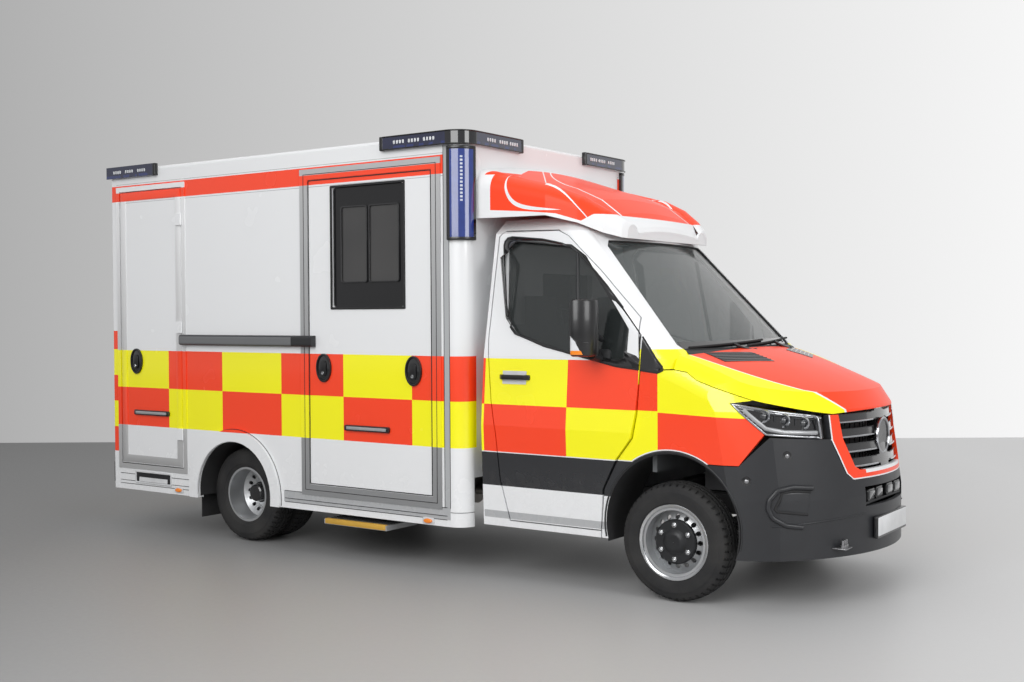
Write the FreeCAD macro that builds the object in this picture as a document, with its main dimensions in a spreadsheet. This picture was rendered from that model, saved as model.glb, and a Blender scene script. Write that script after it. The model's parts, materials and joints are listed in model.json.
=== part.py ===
"""Box-body ambulance on a light truck chassis with twin rear wheels.

Frame: millimetres, +X forward, +Y to the vehicle's left, +Z up.  The origin is on the ground, midway
between the front and the rear bumper, in the vehicle's middle plane.  Outlines are given from the front
axle line, with forward positive, and from the ground.
"""
import FreeCAD, Part
import math
import os
import Sketcher

Vector = FreeCAD.Vector
doc = FreeCAD.newDocument("ambulance")


# ---------------------------------------------------------------- sizes
SIZES = {
    # whole vehicle
    "wheelbase": 3630, "front_overhang": 1000, "rear_overhang": 1510,
    "seat_gap": 0.3, "door_gap": 8, "panel_gap": 5, "cut_margin": 200,
    # wheels and tyres
    "tyre_radius": 357, "tyre_width": 205, "tyre_crown_drop": 6, "tyre_shoulder_radius": 338,
    "tyre_tread_width": 164, "tyre_bulge_radius": 285,
    "rim_flange_radius": 220, "rim_seat_radius": 203, "rim_width": 165, "rim_lip": 10, "rim_wall": 12,
    "front_wheel_y": 850, "rear_outer_y": 867, "rear_inner_y": 632,
    "front_disc_offset": 52, "disc_thickness": 10, "disc_dish": 45,
    "vent_count": 16, "vent_radius": 15, "vent_circle": 148,
    "stud_count": 6, "stud_circle_radius": 102.5, "nut_radius": 15, "nut_height": 22,
    "hub_radius": 82, "hub_bore": 30.3, "spindle_radius": 30, "cap_radius": 52, "cap_depth": 38,
    # steering and axles
    "kingpin_y": 722, "knuckle_radius": 62, "knuckle_width": 44, "kingpin_radius": 26,
    "kingpin_height": 250, "arm_width": 90, "arm_thickness": 36,
    "subframe_width": 820, "subframe_depth": 240, "subframe_height": 90, "subframe_bottom": 260,
    "axle_tube_radius": 52, "axle_tube_end": 525, "diff_radius": 165, "diff_width": 230,
    "spring_width": 75, "spring_thickness": 34, "spring_length": 1250, "spring_seat": 6,
    # ladder frame
    "rail_spacing": 790, "rail_width": 70, "rail_height": 120, "rail_wall": 8, "rail_bottom": 470,
    "rail_front": 700, "rail_rear_gap": 90, "cross_count": 6, "cross_inset": 15, "cross_width": 90,
    "cross_height": 96,
    "bearer_width": 80, "bearer_half": 425, "bearer_count": 7,
    "frame_mount_x": 120, "frame_mount_z": 60, "frame_mount_hole": 7,
    # box body
    "box_front": 1460, "box_rear": 5050, "box_half_width": 1070, "box_wall": 40, "corner_radius": 113,
    "skirt_bottom": 317, "roof_underside": 2845, "roof_thickness": 60, "roof_edge_radius": 26,
    "floor_bottom": 780, "floor_thickness": 50, "front_wall_bottom": 640,
    "rear_post": 57, "rear_opening_half": 950, "rear_sill": 560,
    "rear_header": 2735, "rear_leaf": 40, "rear_window_half": 260, "rear_window_bottom": 1770,
    "rear_window_top": 2440, "rear_window_radius": 40, "glass_thickness": 6,
    "arch_radius": 400, "arch_centre": 372, "flare_radius": 490, "flare_thickness": 24,
    # side door and locker
    "door_outer_rear": 2925, "door_outer_front": 1641, "door_outer_bottom": 430, "door_outer_top": 2760,
    "frame_band": 76, "frame_proud": 6,
    "locker_outer_rear": 4993, "locker_outer_front": 4164, "locker_outer_bottom": 487,
    "side_window_rear": 2618, "side_window_front": 1958, "side_window_bottom": 1770,
    "side_window_top": 2616, "side_window_radius": 30,
    "rail_rear_end": 4196, "rail_front_end": 2778, "rail_low": 1493, "rail_top": 1573, "rail_proud": 42,
    "leaf_thickness": 34, "hinge_height": 90, "hinge_stand": 8, "strap_length": 60, "seal_width": 16,
    "seal_thickness": 12, "seal_front": 1000,
    # outside fittings
    "rear_bumper_bottom": 360, "rear_bumper_top": 520, "rear_bumper_half": 1040,
    "rear_bumper_radius": 60, "tail_lamp_bottom": 880, "tail_lamp_top": 1240, "tail_lamp_width": 84,
    "tail_lamp_depth": 22,
    "flap_thickness": 8, "flap_gap": 90, "flap_bottom": 150, "flap_inner": 520,
    "flap_outer": 1000,
    "step_rear": 2697, "step_front": 2117, "step_bottom": 240, "step_top": 275, "step_outer": 1085,
    "step_inner": 760, "step_bracket": 40,
    "module_proud": 30, "module_side_length": 682, "module_inner_end": 410,
    "module_bottom": 2832, "module_top": 2925, "rear_module_length": 570,
    "corner_light_bottom": 2212, "corner_light_top": 2815, "corner_light_proud": 26,
    # cab
    "cab_back": 1370, "cab_wall": 45,
    "cab_floor_height": 590, "cab_floor_thickness": 40, "firewall_front": 140, "firewall_thickness": 30,
    "firewall_top": 1340, "firewall_half_width": 880, "pass_half_width": 330, "pass_bottom": 840,
    "pass_top": 2000, "gaiter_wall": 40,
    "nose_bottom": 300, "nose_wall": 20, "front_arch_radius": 440, "front_arch_height": 450,
    "bonnet_rear": 20, "bonnet_rear_gap": 10,
    "nose_rear": 520, "nose_corner_start": 200, "nose_side_y": 1003, "nose_corner_x": 640,
    "nose_corner_y": 862,
    "wing_inner": 600, "lamp_depth": 70, "grille_plane": 700, "air_half": 330, "air_bottom": 575,
    "air_top": 690, "grille_inset": 14, "grille_thickness": 40, "slat_count": 4, "slat_height": 52,
    "badge_half": 70,
    "floor_half_width": 900, "toe_half_width": 560, "toe_height": 760,
    "dash_middle": 1080, "dash_bottom_back": 120, "dash_brow": 60, "seat_cushion_top": 1010,
    "mirror_x": 550, "mirror_depth": 120, "mirror_width": 400, "mirror_outer": 1225,
    "mirror_inner": 1030, "mirror_foot": 900, "mirror_bottom": 1462, "mirror_top": 1806,
    "mirror_arm_drop": 30, "mirror_arm_height": 50, "fairing_wall": 12,
    # furniture in the cab
    "seat_width": 480, "seat_depth": 500, "seat_thickness": 120, "seat_y": 480,
    "seat_back": 1290, "backrest_height": 640, "backrest_thickness": 120, "headrest_width": 260,
    "headrest_height": 190, "headrest_thickness": 90, "seat_base_inset": 50,
    "dash_rear": 560, "dash_bottom": 900, "dash_top": 1330, "dash_half_width": 840,
    "wheel_hub_x": 640, "wheel_hub_z": 1290, "wheel_y": 440, "wheel_ring_radius": 195,
    "wheel_grip_radius": 15, "wheel_tilt": 62, "column_radius": 30, "column_length": 150,
    # masses below
    "engine_front": 600, "engine_rear": 110, "engine_half_width": 290, "engine_top": 1130,
    "radiator_rear": 630, "radiator_front": 690, "radiator_half": 590,
    "tank_rear": 2500, "tank_front": 1650, "tank_outer": 900, "tank_bottom": 330,
    "tank_top": 585, "tank_radius": 60,
    "muffler_radius": 95, "muffler_rear": 2500, "muffler_front": 1750,
    "muffler_z": 490, "pipe_radius": 32, "pipe_front": 900, "pipe_rear": 3000,
}


class Size:
    """A length that carries both its value and the sheet expression that gives it."""

    def __init__(self, text, value):
        self.text, self.value = text, float(value)

    def combine(self, other, sign, result):
        return Size("(%s %s %s)" % (self.text, sign, as_size(other).text), result)

    def __add__(self, other):
        return self.combine(other, "+", self.value + as_size(other).value)

    def __sub__(self, other):
        return self.combine(other, "-", self.value - as_size(other).value)

    def __mul__(self, other):
        return self.combine(other, "*", self.value * as_size(other).value)

    def __truediv__(self, other):
        return self.combine(other, "/", self.value / as_size(other).value)

    def __radd__(self, other):
        return as_size(other) + self

    def __rsub__(self, other):
        return as_size(other) - self

    def __rmul__(self, other):
        return as_size(other) * self

    def __neg__(self):
        return Size("(0 - %s)" % self.text, -self.value)


def as_size(value):
    if isinstance(value, Size):
        return value
    return Size(repr(round(float(value), 6)), value)


def root(size):
    return Size("sqrt(%s)" % size.text, math.sqrt(size.value))


class Sheet:
    """The spreadsheet of driving sizes; an attribute gives the Size of that name."""

    def __init__(self, values):
        self.cells = doc.addObject("Spreadsheet::Sheet", "Sizes")
        self.row = 0
        self.sizes = {}
        for name, value in values.items():
            self.add(name, value)

    def add(self, name, value):
        self.row += 1
        self.cells.set("A%d" % self.row, name)
        self.cells.set("B%d" % self.row, str(value))
        self.cells.setAlias("B%d" % self.row, name)
        self.sizes[name] = Size("Sizes." + name, value)
        return self.sizes[name]

    def __getattr__(self, name):
        return self.sizes[name]

    def table(self, name, columns, rows):
        """Rows of sizes: row[column] is the size kept under name_column_number."""
        return [{column: self.add("%s_%s_%d" % (name, column, number), value)
                 for column, value in zip(columns, row)}
                for number, row in enumerate(rows, 1)]


d = Sheet(SIZES)
AXLE = (d.front_overhang + d.wheelbase + d.rear_overhang) / 2 - d.front_overhang
REAR_AXLE = AXLE - d.wheelbase
WIDE = d.box_half_width + d.cut_margin
REAR_MEETING = (d.rear_outer_y + d.rear_inner_y) / 2
REAR_REACH = d.rear_outer_y - REAR_MEETING


def at(station):
    """X of a place given from the front axle line, forward positive."""
    return AXLE + station


# ---------------------------------------------------------------- shapes
def bind(thing, **sizes):
    """Tie properties to sheet expressions; a double underscore stands for a dot."""
    for key, size in sizes.items():
        thing.setExpression(key.replace("__", "."), as_size(size).text)


def place(thing, x=0, y=0, z=0):
    """Put an object at a point that follows the sheet."""
    thing.Placement = FreeCAD.Placement(Vector(*(as_size(v).value for v in (x, y, z))),
                                        thing.Placement.Rotation)
    for axis, size in zip("xyz", (x, y, z)):
        thing.setExpression("Placement.Base." + axis, as_size(size).text)
    return thing


def arc_between(start, end, radius, hollow):
    """The short arc from start to end, bulging to the right of travel or, when hollow, to the left."""
    (x1, y1), (x2, y2) = start, end
    chord = math.hypot(x2 - x1, y2 - y1)
    rise = math.sqrt(max(radius ** 2 - chord ** 2 / 4, 0))
    side = -1 if hollow else 1
    centre = Vector((x1 + x2) / 2 - side * (y2 - y1) / chord * rise,
                    (y1 + y2) / 2 + side * (x2 - x1) / chord * rise, 0)
    first, last = (end, start) if hollow else (start, end)
    circle = Part.Circle(centre, Vector(0, 0, 1), radius)
    return Part.ArcOfCircle(circle, math.atan2(first[1] - centre.y, first[0] - centre.x),
                            math.atan2(last[1] - centre.y, last[0] - centre.x))


def draw(sketch, outline):
    """Add a closed outline to a sketch.

    Each corner is (x, y), or (x, y, radius) when an arc that bulges outward leaves it in an outline
    drawn anticlockwise, or (x, y, radius, "hollow") when that arc bulges inward.
    """
    first = sketch.GeometryCount
    corners = [[as_size(v) for v in corner[:3]] for corner in outline]
    hollow = [len(corner) > 3 for corner in outline]
    count = len(corners)
    curves = []
    for i, corner in enumerate(corners):
        after = corners[(i + 1) % count]
        start, end = [(p[0].value, p[1].value) for p in (corner, after)]
        if len(corner) > 2:
            curves.append(arc_between(start, end, corner[2].value, hollow[i]))
        else:
            curves.append(Part.LineSegment(Vector(*start, 0), Vector(*end, 0)))
    sketch.addGeometry(curves, False)
    begin = [2 if hollow[i] else 1 for i in range(count)]
    finish = [1 if hollow[i] else 2 for i in range(count)]
    sketch.addConstraint([Sketcher.Constraint("Coincident", first + i, finish[i],
                                              first + (i + 1) % count, begin[(i + 1) % count])
                          for i in range(count)])
    for i, corner in enumerate(corners):
        ties = [("DistanceX", (-1, 1, first + i, begin[i]), corner[0]),
                ("DistanceY", (-1, 1, first + i, begin[i]), corner[1])]
        if len(corner) > 2:
            ties.append(("Radius", (first + i,), corner[2]))
        for kind, places, size in ties:
            index = sketch.addConstraint(Sketcher.Constraint(kind, *places, size.value))
            sketch.setExpression("Constraints[%d]" % index, size.text)


def new_body(label):
    body = doc.addObject("PartDesign::Body", "body")
    body.Label = label
    return body


def sketch_on(body, role, offset, outlines):
    """A sketch on one of the body's own origin planes, moved along its normal by offset."""
    sketch = body.newObject("Sketcher::SketchObject", "sketch")
    plane = [f for f in body.Origin.OriginFeatures if f.Role == role][0]
    sketch.AttachmentSupport = [(plane, "")]
    sketch.MapMode = "FlatFace"
    bind(sketch, AttachmentOffset__Base__z=offset)
    for outline in outlines:
        draw(sketch, outline)
    return sketch


def padded(label, role, offset, length, outline, holes):
    body = new_body(label)
    sketch = sketch_on(body, role, offset, [outline] + list(holes))
    pad = body.newObject("PartDesign::Pad", "pad")
    pad.Profile = sketch
    bind(pad, Length=length)
    return body


def plate_x(label, low, high, outline, holes=()):
    """A plate across X between two stations; outlines are (y, z)."""
    low, high = as_size(low), as_size(high)
    return padded(label, "YZ_Plane", low, high - low, outline, holes)


def plate_y(label, low, high, outline, holes=()):
    """A plate across Y; outlines are (x, z)."""
    low, high = as_size(low), as_size(high)
    return padded(label, "XZ_Plane", -high, high - low, outline, holes)


def plate_z(label, low, high, outline, holes=()):
    """A plate across Z; outlines are (x, y)."""
    low, high = as_size(low), as_size(high)
    return padded(label, "XY_Plane", low, high - low, outline, holes)


def loft(label, role, sections, ruled=False):
    """A solid through outlines on parallel planes, given as (offset, outline) in order."""
    body = new_body(label)
    sketches = [sketch_on(body, role, offset, [outline]) for offset, outline in sections]
    solid = body.newObject("PartDesign::AdditiveLoft", "loft")
    solid.Profile = sketches[0]
    solid.Sections = sketches[1:]
    solid.Ruled = ruled
    return body


def revolved(label, outline):
    """A ring about the Y axis; the outline is (y, radius)."""
    body = new_body(label)
    sketch = sketch_on(body, "YZ_Plane", 0, [outline])
    turn = body.newObject("PartDesign::Revolution", "turn")
    turn.Profile = sketch
    turn.ReferenceAxis = (sketch, ["H_Axis"])
    turn.Angle = 360
    return body


def box(label, x, y, z):
    """A block between (low, high) pairs."""
    block = doc.addObject("Part::Box", "block")
    block.Label = label
    (x0, x1), (y0, y1), (z0, z1) = [[as_size(v) for v in pair] for pair in (x, y, z)]
    bind(block, Length=x1 - x0, Width=y1 - y0, Height=z1 - z0)
    return place(block, x0, y0, z0)


AXIS_TURN = {"x": FreeCAD.Rotation(Vector(0, 1, 0), 90), "y": FreeCAD.Rotation(Vector(1, 0, 0), -90),
             "z": FreeCAD.Rotation()}


def cylinder(label, axis, radius, length, x, y, z):
    """A cylinder that starts at the point and runs along the axis."""
    rod = doc.addObject("Part::Cylinder", "rod")
    rod.Label = label
    rod.Placement = FreeCAD.Placement(Vector(), AXIS_TURN[axis])
    bind(rod, Radius=radius, Height=length)
    return place(rod, x, y, z)


def joined(kind, label, **links):
    result = doc.addObject(kind, kind.split("::")[1].lower())
    result.Label = label
    for key, value in links.items():
        setattr(result, key, value)
    return result


def fuse(label, *pieces):
    return joined("Part::MultiFuse", label, Shapes=list(pieces))


def common(label, *pieces):
    return joined("Part::MultiCommon", label, Shapes=list(pieces))


def cut(label, base, *tools):
    tool = tools[0] if len(tools) == 1 else fuse(label + " cutters", *tools)
    return joined("Part::Cut", label, Base=base, Tool=tool)


def mirrored(label, source):
    """The same piece on the other side of the vehicle's middle plane."""
    copy = joined("Part::Mirroring", label, Source=source)
    copy.Normal = Vector(0, 1, 0)
    return copy


def pair(label, source):
    """A piece and its twin across the middle plane, kept as two separate solids."""
    twin = mirrored(label + " twin", source)
    return joined("Part::Compound", label, Links=[source, twin])


def rectangle(x0, x1, y0, y1):
    return [(x0, y0), (x1, y0), (x1, y1), (x0, y1)]


def rounded(x0, x1, y0, y1, radius):
    """An anticlockwise rectangle with four round corners."""
    return [(x0 + radius, y0), (x1 - radius, y0, radius), (x1, y0 + radius), (x1, y1 - radius, radius),
            (x1 - radius, y1), (x0 + radius, y1, radius), (x0, y1 - radius), (x0, y0 + radius, radius)]


NODES = {}


def node(name, thing):
    """Keep a finished sub-part under its node name."""
    thing.Label = name
    NODES[name] = thing
    return thing


# ---------------------------------------------------------------- box body
BOX_FRONT = at(-d.box_front)
BOX_REAR = at(-d.box_rear)
BOX_INNER = d.box_half_width - d.box_wall
ROOF_TOP = d.roof_underside + d.roof_thickness
WALL_REAR = BOX_REAR + d.rear_post
WALL_FRONT = BOX_FRONT - d.corner_radius
FLOOR_TOP = d.floor_bottom + d.floor_thickness


HINGE_HEIGHTS = d.table("hinge_heights", ("z",), [(794,), (1630,), (2469,)])


def arch_cutter(label, station, height, radius, low, high):
    return cylinder(label, "y", radius, high - low, station, low, height)


def box_walls():
    right = plate_y("right panel", -d.box_half_width, -BOX_INNER,
                    rectangle(WALL_REAR, WALL_FRONT, d.skirt_bottom, d.roof_underside))
    door = box("side door opening", (at(-d.door_outer_rear), at(-d.door_outer_front)), (-WIDE, 0),
               (d.door_outer_bottom, d.door_outer_top))
    locker = box("locker opening", (WALL_REAR - d.cut_margin, at(-d.locker_outer_front)), (-WIDE, 0),
                 (d.locker_outer_bottom, d.door_outer_top))
    arch = arch_cutter("right arch", REAR_AXLE, d.arch_centre, d.arch_radius, -WIDE, -BOX_INNER / 2)
    node("box_wall_right", cut("box_wall_right", right, door, locker, arch))
    left = plate_y("left panel", BOX_INNER, d.box_half_width,
                   rectangle(WALL_REAR, WALL_FRONT, d.skirt_bottom, d.roof_underside))
    window = plate_y("left window opening", BOX_INNER / 2, WIDE, window_outline(0))
    arch = arch_cutter("left arch", REAR_AXLE, d.arch_centre, d.arch_radius, BOX_INNER / 2, WIDE)
    node("box_wall_left", cut("box_wall_left", left, window, arch))


def window_outline(grow):
    return rounded(at(-d.side_window_rear) - grow, at(-d.side_window_front) + grow,
                   d.side_window_bottom - grow, d.side_window_top + grow, d.side_window_radius + grow)


def box_shell():
    inner_radius = d.corner_radius - d.box_wall
    corner_y = d.box_half_width - d.corner_radius
    front = plate_z("front panel", d.skirt_bottom, d.roof_underside, [
        (WALL_FRONT, -d.box_half_width, d.corner_radius), (BOX_FRONT, -corner_y),
        (BOX_FRONT, corner_y, d.corner_radius), (WALL_FRONT, d.box_half_width),
        (WALL_FRONT, BOX_INNER, inner_radius, "hollow"), (BOX_FRONT - d.box_wall, corner_y),
        (BOX_FRONT - d.box_wall, -corner_y, inner_radius, "hollow"), (WALL_FRONT, -BOX_INNER)])
    under = box("space under the front wall", (WALL_FRONT, BOX_FRONT + d.cut_margin),
                (-corner_y, corner_y), (0, d.front_wall_bottom))
    passage = box("passage opening", (WALL_FRONT, BOX_FRONT + d.cut_margin),
                  (-d.pass_half_width, d.pass_half_width), (d.pass_bottom, d.pass_top))
    node("box_front", cut("box_front", front, under, passage))
    roof = plate_z("box_roof", d.roof_underside, ROOF_TOP, [
        (BOX_REAR, -d.box_half_width), (WALL_FRONT, -d.box_half_width, d.corner_radius),
        (BOX_FRONT, -corner_y), (BOX_FRONT, corner_y, d.corner_radius),
        (WALL_FRONT, d.box_half_width), (BOX_REAR, d.box_half_width)])
    doc.recompute()
    edges = [name for name, edge in named_edges(roof) if edge.BoundBox.ZMin > ROOF_TOP.value - 1]
    plain = roof.Tip
    fillet = roof.newObject("PartDesign::Fillet", "fillet")
    fillet.Base = (plain, edges)
    bind(fillet, Radius=d.roof_edge_radius)
    roof.Tip = fillet
    node("box_roof", roof)
    node("box_floor", box("box_floor", (WALL_REAR, BOX_FRONT - d.box_wall), (-BOX_INNER, BOX_INNER),
                          (d.floor_bottom, FLOOR_TOP)))
    floor_clear = box("front corner space", (WALL_FRONT, BOX_FRONT), (-WIDE, WIDE), (0, ROOF_TOP))
    node("box_floor", cut("box_floor", NODES["box_floor"], floor_clear))


def named_edges(thing):
    shape = thing.Shape
    return [("Edge%d" % number, edge) for number, edge in enumerate(shape.Edges, 1)]


def rear_end():
    post_inner = d.rear_opening_half
    ring = plate_x("rear posts", BOX_REAR, WALL_REAR,
                   rectangle(-d.box_half_width, d.box_half_width, d.skirt_bottom, d.roof_underside),
                   [rectangle(-post_inner, post_inner, d.rear_sill, d.rear_header)])
    lip_inner = post_inner - d.seal_width
    lip = plate_x("rear lip", BOX_REAR + d.rear_leaf + d.seat_gap, WALL_REAR,
                  rectangle(-post_inner, post_inner, d.rear_sill, d.rear_header),
                  [rectangle(-lip_inner, lip_inner, d.rear_sill + d.seal_width,
                             d.rear_header - d.seal_width)])
    node("rear_frame", fuse("rear_frame", ring, lip))
    gap = d.door_gap
    leaf = plate_x("rear_door_right", BOX_REAR, BOX_REAR + d.rear_leaf,
                   rectangle(-post_inner + gap, -gap / 2, d.rear_sill + gap, d.rear_header - gap),
                   [rear_window(0)])
    pane = plate_x("rear_glass_right", BOX_REAR + d.rear_leaf / 2,
                   BOX_REAR + d.rear_leaf / 2 + d.glass_thickness, rear_window(-d.seat_gap))
    straps = strap_hinges(BOX_REAR - d.hinge_stand, -post_inner, (0, 1), (1, 0), d.hinge_stand)
    leaf = fuse("hung rear leaf", leaf, *straps)
    node("rear_door_right", leaf)
    node("rear_glass_right", pane)
    node("rear_door_left", mirrored("rear_door_left", leaf))
    node("rear_glass_left", mirrored("rear_glass_left", pane))
    back = REAR_AXLE - d.rear_overhang
    node("rear_bumper", plate_z("rear_bumper", d.rear_bumper_bottom, d.rear_bumper_top, [
        (BOX_REAR, -d.rear_bumper_half), (BOX_REAR, d.rear_bumper_half),
        (back + d.rear_bumper_radius, d.rear_bumper_half, d.rear_bumper_radius),
        (back, d.rear_bumper_half - d.rear_bumper_radius),
        (back, d.rear_bumper_radius - d.rear_bumper_half, d.rear_bumper_radius),
        (back + d.rear_bumper_radius, -d.rear_bumper_half)]))
    lamp_centre = (d.rear_opening_half + d.box_half_width) / 2
    lamp = box("right tail lamp", (BOX_REAR - d.tail_lamp_depth, BOX_REAR),
               (-lamp_centre - d.tail_lamp_width / 2, -lamp_centre + d.tail_lamp_width / 2),
               (d.tail_lamp_bottom, d.tail_lamp_top))
    node("tail_lamps", pair("tail_lamps", lamp))


def strap_hinges(x, y, along, inward, drop):
    """Barrels on an upright axis, each with a strap to a leaf that lies along one way in plan."""
    straps, half = [], d.hinge_stand / 2
    plan = [(0, -half), (d.strap_length, -half), (d.strap_length, drop), (d.door_gap, drop),
            (d.door_gap, half), (0, half)]
    for row in HINGE_HEIGHTS:
        low, high = row["z"] - d.hinge_height / 2, row["z"] + d.hinge_height / 2
        straps.append(plate_z("hinge strap", low, high, [
            (x + run * along[0] + depth * inward[0], y + run * along[1] + depth * inward[1])
            for run, depth in plan]))
        straps.append(cylinder("hinge barrel", "z", d.hinge_stand - d.seat_gap, d.hinge_height, x, y,
                               low))
    return straps


def rear_window(grow):
    middle = -d.rear_opening_half / 2
    return rounded(middle - d.rear_window_half - grow, middle + d.rear_window_half + grow,
                   d.rear_window_bottom - grow, d.rear_window_top + grow, d.rear_window_radius + grow)


def side_door_and_locker():
    band, gap = d.frame_band, d.door_gap
    rear, front = at(-d.door_outer_rear), at(-d.door_outer_front)
    low, top = d.door_outer_bottom, d.door_outer_top
    outer = -d.box_half_width - d.frame_proud
    door_ring = plate_y("side door frame", outer, -BOX_INNER, rectangle(rear, front, low, top),
                        [rectangle(rear + band, front - band, low + band, top - band)])
    node("side_door", plate_y("side_door", -d.box_half_width, -d.box_half_width + d.leaf_thickness,
                              rectangle(rear + band, front - band, low + band, top - band),
                              [window_outline(0)]))
    rear, front = at(-d.locker_outer_rear), at(-d.locker_outer_front)
    low = d.locker_outer_bottom
    rim = band / 2
    locker_ring = plate_y("locker frame", outer, -BOX_INNER, rectangle(WALL_REAR, front, low, top),
                          [rectangle(WALL_REAR + rim, front - rim, low + rim, top - rim)])
    lip = plate_y("locker lip", -d.box_half_width + d.leaf_thickness + d.seat_gap, -BOX_INNER,
                  rectangle(WALL_REAR + rim, front - rim, low + rim, top - rim),
                  [rectangle(WALL_REAR + band, front - band, low + band, top - band)])
    locker_ring = fuse("locker surround", locker_ring, lip)
    node("door_frames", joined("Part::Compound", "door_frames", Links=[door_ring, locker_ring]))
    leaf = plate_y("locker leaf", -d.box_half_width, -d.box_half_width + d.leaf_thickness,
                   rectangle(WALL_REAR + rim + gap, front - rim - gap, low + rim + gap,
                             top - rim - gap))
    straps = strap_hinges(front - rim, outer - d.hinge_stand, (-1, 0), (0, 1),
                          d.hinge_stand + d.frame_proud)
    node("locker_door", fuse("locker_door", leaf, *straps))
    pane = plate_y("right box window", -d.box_half_width + d.leaf_thickness / 2,
                   -d.box_half_width + d.leaf_thickness / 2 + d.glass_thickness,
                   window_outline(-d.seat_gap))
    left_pane = plate_y("left box window", BOX_INNER + d.box_wall / 2,
                        BOX_INNER + d.box_wall / 2 + d.glass_thickness, window_outline(-d.seat_gap))
    node("box_windows", joined("Part::Compound", "box_windows", Links=[pane, left_pane]))
    node("door_rail", plate_x("door_rail", at(-d.rail_rear_end), at(-d.rail_front_end), [
        (outer, d.rail_low), (outer, d.rail_top), (outer - d.rail_proud / 2, d.rail_top, d.rail_proud / 2),
        (outer - d.rail_proud, d.rail_top - d.rail_proud / 2),
        (outer - d.rail_proud, d.rail_low + d.rail_proud / 2, d.rail_proud / 2),
        (outer - d.rail_proud / 2, d.rail_low)]))


def arch_flares():
    outside = -d.box_half_width - d.flare_thickness
    disc = cylinder("right flare disc", "y", d.flare_radius, d.flare_thickness, REAR_AXLE, outside,
                    d.arch_centre)
    hole = arch_cutter("right flare hole", REAR_AXLE, d.arch_centre, d.arch_radius, -WIDE, 0)
    below = box("space below the flare", (REAR_AXLE - d.flare_radius, REAR_AXLE + d.flare_radius),
                (-WIDE, 0), (-d.flare_radius, d.skirt_bottom))
    node("arch_flares", pair("arch_flares", cut("right arch flare", disc, hole, below)))


def outside_fittings():
    flap_front = REAR_AXLE - d.tyre_radius - d.flap_gap
    flap = box("right mudflap", (flap_front - d.flap_thickness, flap_front), (-d.flap_outer, -d.flap_inner),
               (d.flap_bottom, d.floor_bottom))
    node("mudflaps", pair("mudflaps", flap))
    tread = box("step tread", (at(-d.step_rear), at(-d.step_front)), (-d.step_outer, -d.step_inner),
                (d.step_bottom, d.step_top))
    arms = [box("step arm", (x - d.step_bracket / 2, x + d.step_bracket / 2),
                (-d.step_inner - d.step_bracket, -d.step_inner), (d.step_top, d.floor_bottom))
            for x in (at(-d.step_rear) + d.step_bracket, at(-d.step_front) - d.step_bracket)]
    node("side_step", fuse("side_step", tread, *arms))


def warning_lights():
    reach = d.box_half_width + d.module_proud
    front = BOX_FRONT + d.module_proud
    radius = d.corner_radius + d.module_proud
    corner_y = d.box_half_width - d.corner_radius
    outline = [
        (BOX_FRONT - d.module_side_length, -reach), (WALL_FRONT, -reach, radius),
        (front, -corner_y), (front, -d.module_inner_end),
        (BOX_FRONT, -d.module_inner_end), (BOX_FRONT, -corner_y, d.corner_radius, "hollow"),
        (WALL_FRONT, -d.box_half_width), (BOX_FRONT - d.module_side_length, -d.box_half_width)]
    front_module = plate_z("front light module", d.module_bottom, d.module_top, outline)
    rear_outline = [
        (BOX_REAR - d.module_proud, -reach), (BOX_REAR + d.rear_module_length, -reach),
        (BOX_REAR + d.rear_module_length, -d.box_half_width), (BOX_REAR, -d.box_half_width),
        (BOX_REAR, -d.box_half_width + d.rear_module_length),
        (BOX_REAR - d.module_proud, -d.box_half_width + d.rear_module_length)]
    rear_module = plate_z("rear light module", d.module_bottom, d.module_top, rear_outline)
    outer = d.corner_radius + d.corner_light_proud
    column = plate_z("corner light", d.corner_light_bottom, d.corner_light_top, [
        (WALL_FRONT, -corner_y - outer, outer), (WALL_FRONT + outer, -corner_y),
        (WALL_FRONT + d.corner_radius, -corner_y, d.corner_radius, "hollow"),
        (WALL_FRONT, -corner_y - d.corner_radius)])
    right = joined("Part::Compound", "right lights", Links=[front_module, rear_module, column])
    node("warning_lights", pair("warning_lights", right))


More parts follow.
